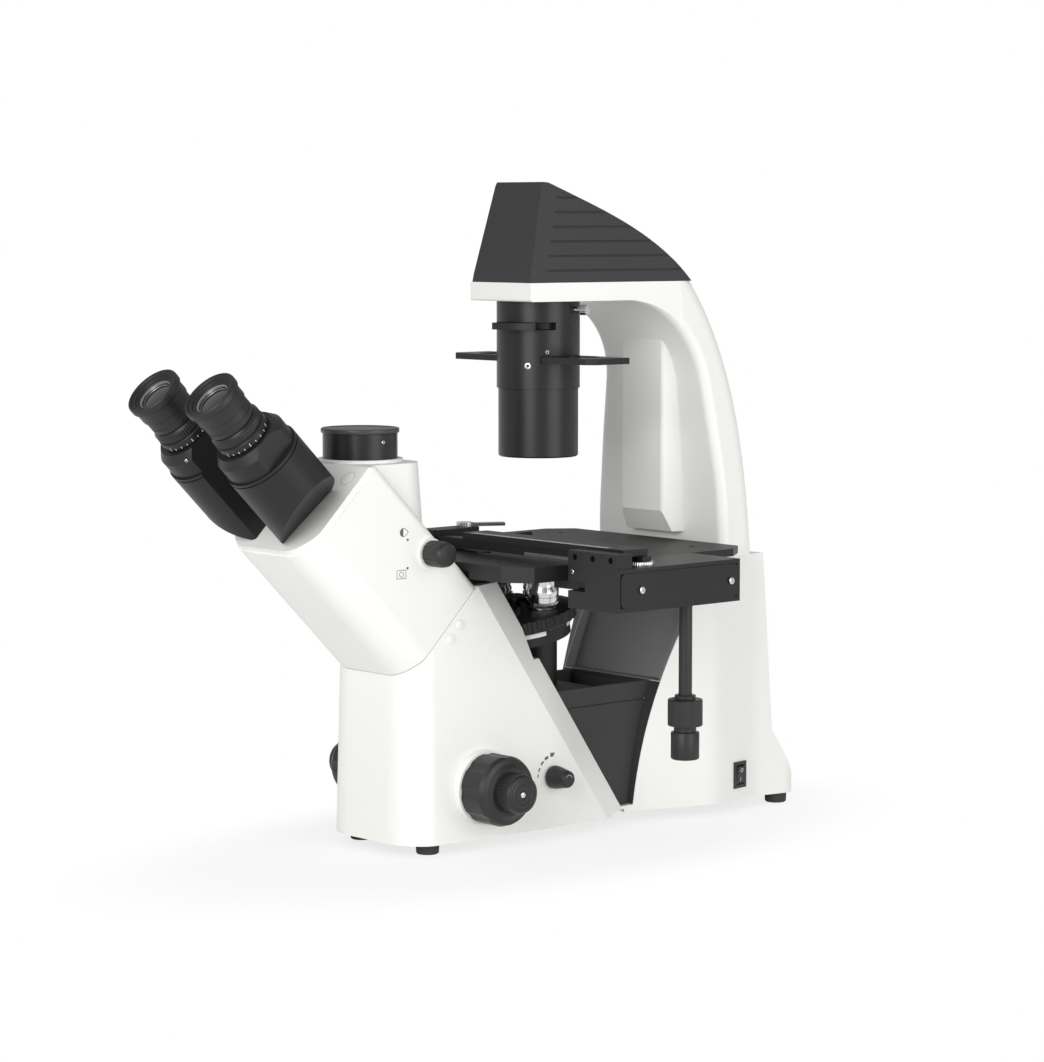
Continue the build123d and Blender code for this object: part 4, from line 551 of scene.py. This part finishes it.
def brightness_dashes():
    """Dashes that grow round the brightness knob: each lies at its own angle and radius from the knob's
    middle, square to that radius, on the flank of the stand."""
    angle = np.radians([172.0, 154.0, 133.0, 113.0, 92.0])
    radius = np.array([14.4, 14.5, 14.9, 15.4, 16.1])
    lengths, widths = [2.6, 2.9, 3.2, 3.5, 4.0], [0.9, 1.2, 1.6, 2.1, 2.9]
    aim = np.stack([0 * angle, np.cos(angle), np.sin(angle)], 1)
    turn = np.stack([0 * angle, -np.sin(angle), np.cos(angle)], 1)
    spots = BRIGHTNESS_SPOT + aim * radius[:, None]
    spots[:, 0] = stand_flank(spots[:, 1], spots[:, 2])
    return plates(spots, turn, aim, (0.999, -0.033, 0.026), lengths, widths, INK)


def switch_signs():
    """Ring for off on the upper half of the rocker and bar for on on the lower half, each flat on its half:
    the two halves lean by their own small angles about the rocker's pin."""
    across, out = np.array([-0.1187, 0.9929, 0.0]), np.array([0.9929, 0.1187, 0.0])
    base = np.array([64.15, 147.0, 27.0])
    upper = np.stack([across, 0.981 * UP + 0.193 * out, 0.981 * out - 0.193 * UP])
    ring = sector(base + 3.6 * UP + 2.61 * out, upper, 1.2, 1.6, 0, 360, INK)
    low_up, low_out = 0.994 * UP + 0.105 * out, 0.994 * out - 0.105 * UP
    bar = plates([base - 3.4 * UP + 1.54 * out], low_up, across, low_out, 3.2, 0.45, INK)
    return joined([ring, bar])


class MICROSCOPE_OT_controls(bpy.types.Operator):
    """Fine knobs, brightness marks and switch marks"""
    bl_idname = "microscope.controls"
    bl_label = "Controls"

    def execute(self, context):
        ribs = context.scene.microscope_detail.fine_ribs
        shaft = [(0.0, -100.0), (2.5, -100.0), (2.5, 90.0), (0.0, 90.0)]
        forms = [fine_knob_form(FOCUS_SPOT, ALONG_X, 83.6, ribs),
                 fine_knob_form(FOCUS_SPOT, -ALONG_X, 93.9, ribs),
                 turned(shaft, FOCUS_SPOT, ALONG_X, SHAFT_ROUND)]
        knobs = new_object("fine_grips", *joined(forms), "fine_focus", "black_plastic", FINISHES["grip"])
        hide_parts("fine_knobs")
        stud = [(2.3, 0.0), (2.3, 0.5), (1.9, 1.0), (1.2, 1.25), (0.45, 1.3), (0.4, 0.9), (0.0, 0.9)]
        forms = [turned(stud, FOCUS_SPOT + 95.7 * ALONG_X, ALONG_X, SCREW_ROUND),
                 turned(stud, FOCUS_SPOT - 106.0 * ALONG_X, -ALONG_X, SCREW_ROUND)]
        new_object("fine_studs", *joined(forms), "fine_focus", "bright_chrome", FINISHES["chrome"])
        dashes = brightness_dashes()
        new_object("brightness_marks", *dashes, "stand", "black_plastic", FINISHES["dark_ink"])
        rows = np.stack([ALONG_Y, UP, ALONG_X])
        pointer = sector(BRIGHTNESS_SPOT + 71.82 * ALONG_X, rows, 3.0, 3.45, 20, 150, LINE)
        new_object("brightness_pointer", *pointer, "brightness", "white_plastic", FINISHES["seam"])
        new_object("switch_marks", *switch_signs(), "switch", "white_plastic", FINISHES["white_ink"])
        return {"FINISHED"}


# Underside and drop knobs
def underside_half(y):
    """Half-width of the bottom cover by place along the stand, drawn in where the notch is bevelled."""
    return np.interp(y, [-158.0, -150.0, -128.0, 8.0, 34.0, 52.0, 64.0, 112.0, 160.0, 202.0],
                     [26.0, 38.0, 46.5, 51.0, 41.5, 41.5, 44.0, 60.0, 57.0, 64.0])


def cover_form():
    """Bottom cover: x is the half-width at each place along the stand times a share from edge to edge, and z
    goes once round a shallow section with bevelled lower edges."""
    y = np.linspace(-158.0, 202.0, COVER_ROWS)[:, None]
    share = np.array([-1.0, -0.97, 0.97, 1.0, 1.0, -1.0])[None, :]
    height = np.array([8.4, 8.1, 8.1, 8.4, 10.4, 10.4])[None, :]
    return strip(np.stack([underside_half(y) * share, y + 0 * share, height + 0 * y], -1))


class MICROSCOPE_OT_underside(bpy.types.Operator):
    """Bottom cover with its vents, and the two drop knobs with fine straight ribs"""
    bl_idname = "microscope.underside"
    bl_label = "Underside"

    def execute(self, context):
        cover = new_object("base_cover", *cover_form(), "stand", "black_enamel", FINISHES["black"])
        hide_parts("bottom_cover")
        y = np.arange(98.0, 160.0, 10.0)
        middles = np.stack([0 * y, y, np.full(len(y), 8.1)], 1)
        slots = plates(middles, ALONG_X, ALONG_Y, -UP, 48.0, 4.0, 0.03)
        new_object("base_vents", *slots, "stand", "black_plastic", FINISHES["grip"])
        upper = [(2.6, 88.0), (11.9, 88.0), (12.5, 88.6, 1.0), (12.5, 106.4, 1.0), (11.9, 107.0),
                 (7.9, 107.0), (7.5, 107.4), (7.5, 109.6), (7.1, 110.0), (4.8, 110.0), (4.8, 198.0),
                 (2.6, 198.0)]
        form = turned(upper, DROP_SPOT, UP, 3 * LONG_RIBS, LONG_RIBS, 0.22, closed=True)
        grip = new_object("long_travel_grip", *form, "y_drive", "black_plastic", FINISHES["grip"])
        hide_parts("y_knob")
        lower = [(0.0, 64.0), (9.2, 64.0), (9.9, 64.5), (10.2, 65.2, 1.0), (10.2, 82.8, 1.0), (9.7, 83.5),
                 (8.3, 83.5), (8.0, 83.8), (8.0, 87.7), (2.5, 87.7), (2.5, 198.0), (0.0, 198.0)]
        form = turned(lower, DROP_SPOT, UP, 3 * CROSS_RIBS, CROSS_RIBS, 0.20)
        grip = new_object("cross_travel_grip", *form, "x_drive", "black_plastic", FINISHES["grip"])
        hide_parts("x_knob")
        return {"FINISHED"}


# Facings and the port's collar
def column_front(height):
    """Front of the column by height: the circle through three places of the notch's rear wall."""
    a, b, c = np.array([52.0, 13.0]), np.array([74.0, 104.0]), np.array([122.0, 194.0])
    middle = np.linalg.solve(2 * np.stack([b - a, c - a]), np.array([b @ b - a @ a, c @ c - a @ a]))
    reach = np.linalg.norm(a - middle)
    rise = np.asarray(height) - middle[1]
    return middle[0] - np.sign(middle[0] - a[0]) * np.sqrt(reach ** 2 - rise ** 2)


def facing(low, high, inner, sign):
    """Thin strip on the column's front from an inner half-width to the edge of the flank: y follows the
    circle of the front, x runs straight from edge to edge, and a second sheet lies behind it."""
    height = np.linspace(low, high, FACING_ROWS)[:, None]
    y = column_front(height)
    outer = np.interp(y, [48.0, 62.0, 119.0], [46.5, 50.0, 67.5]) - 0.35
    x = np.concatenate([inner + 0 * y, outer, outer, inner + 0 * y], 1)
    depth = np.array([[-0.3, -0.3, 0.4, 0.4]])
    return strip(np.stack([sign * x, y + depth, height + 0 * x], -1))


def recess_wall(sign):
    """Thin sheet on the side of the column's hollow: y runs straight from the column's front to the liner,
    which lies 0.4 further back for each step of height."""
    height = np.linspace(104.4, 188.0, WALL_ROWS)[:, None]
    front, back = column_front(height) + 0.45, 83.95 + (height - 104.0) * 0.4
    y = np.concatenate([front, back, back, front], 1)
    x = np.broadcast_to(sign * np.array([[51.6, 51.6, 52.1, 52.1]]), y.shape)
    return strip(np.stack([x, y, height + 0 * y], -1))


class MICROSCOPE_OT_facings(bpy.types.Operator):
    """Dark grey sheets over the column's front and the walls of its hollow beside the liners of the notch,
    and the white collar of the port
    """
    bl_idname = "microscope.facings"
    bl_label = "Facings"

    def execute(self, context):
        for hand, sign in HANDS:
            low, high = facing(13.5, 103.6, 42.05, sign), facing(104.0, 188.0, 52.2, sign)
            wall = recess_wall(sign)
            new_object(hand + "_low_facing", *low, "stand", "black_plastic", FINISHES["tray"])
            new_object(hand + "_high_facing", *high, "stand", "black_plastic", FINISHES["recess"])
            new_object(hand + "_wall_facing", *wall, "stand", "black_plastic", FINISHES["recess"])
        ledge = plates([(0.0, 79.2, 104.2)], ALONG_X, ALONG_Y, UP, 102.8, 9.3, 0.1)
        new_object("ledge_facing", *ledge, "stand", "black_plastic", FINISHES["recess"])
        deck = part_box("photo_port_tube")[0][2] * 1000
        ring = [(26.4, 2.05), (26.4, 2.4), (29.7, 2.4), (30.1, 2.0), (30.1, 0.1), (29.9, 0.1), (29.9, 2.05)]
        rows = [(r, deck + h) for r, h in ring]
        form = turned(rows, PORT_SPOT, UP, WIDE_ROUND, closed=True)
        new_object("port_collar", *form, "stand", "white_enamel", FINISHES["enamel"])
        return {"FINISHED"}


# Nosepiece
TURRET_SPOT = np.array([0.0, -24.0, 157.0])
TURRET_LEAN = math.radians(10.0)
TURRET_STEP = math.radians(72.0)
TURRET_OUT = np.array([0.0, -math.sin(TURRET_LEAN), math.cos(TURRET_LEAN)])


def about_turret(points, turn):
    """Points turned about the turret's line: the part along it, plus the rest times cosine, plus the
    line crossed with the rest times sine."""
    local = np.asarray(points) - TURRET_SPOT
    flat = (local @ TURRET_OUT)[:, None] * TURRET_OUT
    rest = local - flat
    return TURRET_SPOT + flat + rest * math.cos(turn) + np.cross(TURRET_OUT, rest) * math.sin(turn)


def objective_form(index, shorter, tip, waist):
    """Objective with a ribbed foot ring, two grooves, a shoulder and a coned tip with a sunk lens."""
    foot, top, r = 167.94, 199.0 - shorter, 11.5
    rows = [(0.0, foot), (11.2, foot), (11.5, foot + 0.4), (11.5, foot + 1.0), (11.1, foot + 1.3),
            (11.45, foot + 1.6, 1.0), (11.45, foot + 4.8, 1.0), (10.8, foot + 5.3), (10.8, foot + 6.1),
            (r, foot + 6.4), (r, foot + 9.4), (r - 0.45, foot + 9.6), (r - 0.45, foot + 10.3),
            (r, foot + 10.5), (r, foot + 14.0), (waist, foot + 16.6), (waist, top - 5.0), (tip, top - 0.3),
            (tip - 0.4, top), (0.6 * tip, top), (0.5 * tip, top - 0.8), (0.0, top - 0.8)]
    points, faces = turned(rows, (0.0, 0.0, 0.0), UP, 4 * OBJECTIVE_RIBS, OBJECTIVE_RIBS, 0.35)
    return about_turret(points, index * TURRET_STEP), faces


class MICROSCOPE_OT_nosepiece(bpy.types.Operator):
    """Objectives with ribs and grooves, and the bright ring with its stop under the turret"""
    bl_idname = "microscope.nosepiece"
    bl_label = "Nosepiece"

    def execute(self, context):
        kinds = ((0, 0.0, 5.0, 9.5), (1, 2.0, 7.0, 10.5), (2, 9.0, 8.0, 11.0), (4, 1.0, 6.0, 10.0))
        form = joined([objective_form(*kind) for kind in kinds])
        lenses = new_object("objective_set", *form, "turret", "bright_chrome", FINISHES["chrome"])
        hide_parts("objectives")
        band = [(39.8, -10.6), (40.5, -10.4), (40.7, -10.0), (40.7, -7.6), (40.4, -7.2), (39.8, -7.1)]
        form = turned(band, TURRET_SPOT, TURRET_OUT, BAND_ROUND, closed=True)
        new_object("turret_bearing", *form, "nosepiece", "satin_aluminium", FINISHES["plate"])
        stop = sector(TURRET_SPOT - 10.9 * TURRET_OUT, axes(TURRET_OUT), 40.2, 41.4, -8, 24, 3.6)
        new_object("turret_stop", *stop, "nosepiece", "black_enamel", FINISHES["black"])
        return {"FINISHED"}


# Stage
class MICROSCOPE_OT_rules(bpy.types.Operator):
    """Rule and vernier lines on the cross bar, and the bright clamp nut"""
    bl_idname = "microscope.rules"
    bl_label = "Rules"

    def execute(self, context):
        pitch = context.scene.microscope_detail.rule_pitch
        x = np.arange(-6.0, 140.0, pitch)
        step = np.arange(len(x))
        length = np.where(step % 10 == 0, 6.5, np.where(step % 5 == 0, 5.2, 3.8))
        middles = np.stack([x, -60.6 + length / 2, np.full(len(x), 219.0)], 1)
        lines = plates(middles, ALONG_Y, ALONG_X, UP, length, LINE_WIDTH, LINE)
        new_object("bar_rule", *lines, "x_stage", "white_plastic", FINISHES["white_ink"])
        back = plates([(82.0, -60.5, 208.6)], ALONG_X, UP, -ALONG_Y, 58.0, 2.2, 0.12)
        new_object("vernier_strip", *back, "x_stage", "satin_aluminium", FINISHES["steel"])
        x = np.arange(55.0, 110.0, pitch)
        middles = np.stack([x, np.full(len(x), -60.62), np.full(len(x), 208.4)], 1)
        lines = plates(middles, UP, ALONG_X, -ALONG_Y, 1.5, LINE_WIDTH, LINE)
        new_object("vernier_lines", *lines, "x_stage", "black_plastic", FINISHES["dark_ink"])
        nut = [(2.2, 206.95), (9.9, 206.95), (10.4, 207.3, 1.0), (10.4, 209.8, 1.0), (9.9, 210.25),
               (2.2, 210.25)]
        form = turned(nut, NUT_SPOT, UP, 6 * NUT_RIBS, NUT_RIBS, 0.35, closed=True)
        new_object("clamp_nut_rim", *form, "y_stage", "bright_chrome", FINISHES["chrome"])
        return {"FINISHED"}


# Floor, light and camera
def white_room(name, share):
    """A pale matt surface that shows partly as plain white to the camera, wholly so far from the object,
    and still takes a shadow near it."""
    mat = bpy.data.materials.new(name)
    mat.use_nodes = True
    nodes, links = mat.node_tree.nodes, mat.node_tree.links
    nodes.remove(nodes["Principled BSDF"])
    matt = nodes.new("ShaderNodeBsdfDiffuse")
    matt.inputs["Color"].default_value = (0.9, 0.9, 0.9, 1)
    glow = nodes.new("ShaderNodeEmission")
    glow.inputs["Strength"].default_value = 1.0
    coords = nodes.new("ShaderNodeTexCoord")
    span = nodes.new("ShaderNodeVectorMath")
    span.operation = "DIVIDE"
    span.inputs[1].default_value = (0.17, 0.33, 1.0)
    links.new(coords.outputs["Object"], span.inputs[0])
    reach = nodes.new("ShaderNodeVectorMath")
    reach.operation = "LENGTH"
    links.new(span.outputs["Vector"], reach.inputs[0])
    far = nodes.new("ShaderNodeMapRange")
    far.interpolation_type = "SMOOTHSTEP"
    far.inputs["From Min"].default_value = 0.65
    far.inputs["From Max"].default_value = 1.15
    far.inputs["To Min"].default_value = share
    far.inputs["To Max"].default_value = 1.0
    links.new(reach.outputs["Value"], far.inputs["Value"])
    path = nodes.new("ShaderNodeLightPath")
    seen = nodes.new("ShaderNodeMath")
    seen.operation = "MAXIMUM"
    links.new(path.outputs["Is Camera Ray"], seen.inputs[0])
    links.new(path.outputs["Is Glossy Ray"], seen.inputs[1])
    part = nodes.new("ShaderNodeMath")
    part.operation = "MULTIPLY"
    links.new(seen.outputs[0], part.inputs[0])
    links.new(far.outputs["Result"], part.inputs[1])
    both = nodes.new("ShaderNodeMixShader")
    links.new(part.outputs[0], both.inputs["Fac"])
    links.new(matt.outputs["BSDF"], both.inputs[1])
    links.new(glow.outputs["Emission"], both.inputs[2])
    links.new(both.outputs["Shader"], nodes["Material Output"].inputs["Surface"])
    return mat


def soft_world(strength):
    """White to the camera and through glass, dimmer as a light."""
    world = bpy.data.worlds.new("studio")
    bpy.context.scene.world = world
    world.use_nodes = True
    nodes, links = world.node_tree.nodes, world.node_tree.links
    lit = nodes["Background"]
    lit.inputs["Color"].default_value = (1, 1, 1, 1)
    lit.inputs["Strength"].default_value = strength
    plain = nodes.new("ShaderNodeBackground")
    plain.inputs["Color"].default_value = (1, 1, 1, 1)
    plain.inputs["Strength"].default_value = 1.0
    path = nodes.new("ShaderNodeLightPath")
    seen = nodes.new("ShaderNodeMath")
    seen.operation = "MAXIMUM"
    links.new(path.outputs["Is Camera Ray"], seen.inputs[0])
    links.new(path.outputs["Is Transmission Ray"], seen.inputs[1])
    both = nodes.new("ShaderNodeMixShader")
    links.new(seen.outputs[0], both.inputs["Fac"])
    links.new(lit.outputs["Background"], both.inputs[1])
    links.new(plain.outputs["Background"], both.inputs[2])
    links.new(both.outputs["Shader"], nodes["World Output"].inputs["Surface"])


def soft_lamp(name, spot, aim, width, power):
    """A square area lamp at a place, turned to an aim."""
    data = bpy.data.lights.new(name, "AREA")
    data.shape = "SQUARE"
    data.size = width
    data.energy = power
    lamp = bpy.data.objects.new(name, data)
    lamp.location = spot
    lamp.rotation_euler = (Vector(aim) - Vector(spot)).to_track_quat("-Z", "Y").to_euler()
    bpy.context.scene.collection.objects.link(lamp)


class MICROSCOPE_OT_stage(bpy.types.Operator):
    """Floor, light and the camera at the photograph's viewing angle"""
    bl_idname = "microscope.stage"
    bl_label = "Stage"

    def execute(self, context):
        s = context.scene.microscope_stage
        context.scene.view_settings.view_transform = "Standard"
        mesh = bpy.data.meshes.new("floor")
        half = FLOOR_HALF
        corners = [(-half, -half, 0), (half, -half, 0), (half, half, 0), (-half, half, 0)]
        mesh.from_pydata(corners, [], [(0, 1, 2, 3)])
        floor = bpy.data.objects.new("floor", mesh)
        context.scene.collection.objects.link(floor)
        mesh.materials.append(white_room("studio_floor", FLOOR_WHITE))
        soft_world(s.ambient)
        soft_lamp("front", place(FRONT_SPOT), place(FRONT_AIM), FRONT_WIDTH, s.front)
        soft_lamp("side", place(SIDE_SPOT), place(SIDE_AIM), SIDE_WIDTH, s.side)
        data = bpy.data.cameras.new("camera")
        data.lens = s.lens
        data.sensor_width = 36.0
        data.clip_end = 100.0
        camera = bpy.data.objects.new("camera", data)
        spot = Vector(place(CAMERA_SPOT))
        target = Vector(place(CAMERA_AIM))
        camera.location = spot
        camera.rotation_euler = (target - spot).to_track_quat("-Z", "Y").to_euler()
        context.scene.collection.objects.link(camera)
        context.scene.camera = camera
        return {"FINISHED"}


class MICROSCOPE_PT_panel(bpy.types.Panel):
    """Lists the steps and the values"""
    bl_idname = "MICROSCOPE_PT_panel"
    bl_label = "Microscope"
    bl_space_type = "VIEW_3D"
    bl_region_type = "UI"
    bl_category = "Microscope"

    def draw(self, context):
        scene = context.scene
        for group in (scene.microscope_colours, scene.microscope_detail, scene.microscope_stage):
            for key in group.__annotations__:
                self.layout.prop(group, key)
        for step in STEPS:
            self.layout.operator(step.bl_idname)


STEPS = (MICROSCOPE_OT_finishes, MICROSCOPE_OT_eyepieces, MICROSCOPE_OT_screws, MICROSCOPE_OT_head,
         MICROSCOPE_OT_controls, MICROSCOPE_OT_underside, MICROSCOPE_OT_facings,
         MICROSCOPE_OT_nosepiece, MICROSCOPE_OT_rules, MICROSCOPE_OT_stage)
GROUPS = (MicroscopeColours, MicroscopeDetail, MicroscopeStage)


def register():
    for cls in (*GROUPS, *STEPS, MICROSCOPE_PT_panel):
        bpy.utils.register_class(cls)
    bpy.types.Scene.microscope_colours = PointerProperty(type=MicroscopeColours)
    bpy.types.Scene.microscope_detail = PointerProperty(type=MicroscopeDetail)
    bpy.types.Scene.microscope_stage = PointerProperty(type=MicroscopeStage)


def unregister():
    del bpy.types.Scene.microscope_colours
    del bpy.types.Scene.microscope_detail
    del bpy.types.Scene.microscope_stage
    for cls in reversed((*GROUPS, *STEPS, MICROSCOPE_PT_panel)):
        bpy.utils.unregister_class(cls)


def main():
    register()
    bpy.ops.microscope.finishes()
    bpy.ops.microscope.eyepieces()
    bpy.ops.microscope.screws()
    bpy.ops.microscope.head()
    bpy.ops.microscope.controls()
    bpy.ops.microscope.underside()
    bpy.ops.microscope.facings()
    bpy.ops.microscope.nosepiece()
    bpy.ops.microscope.rules()
    bpy.ops.microscope.stage()


if __name__ == "__main__":
    main()
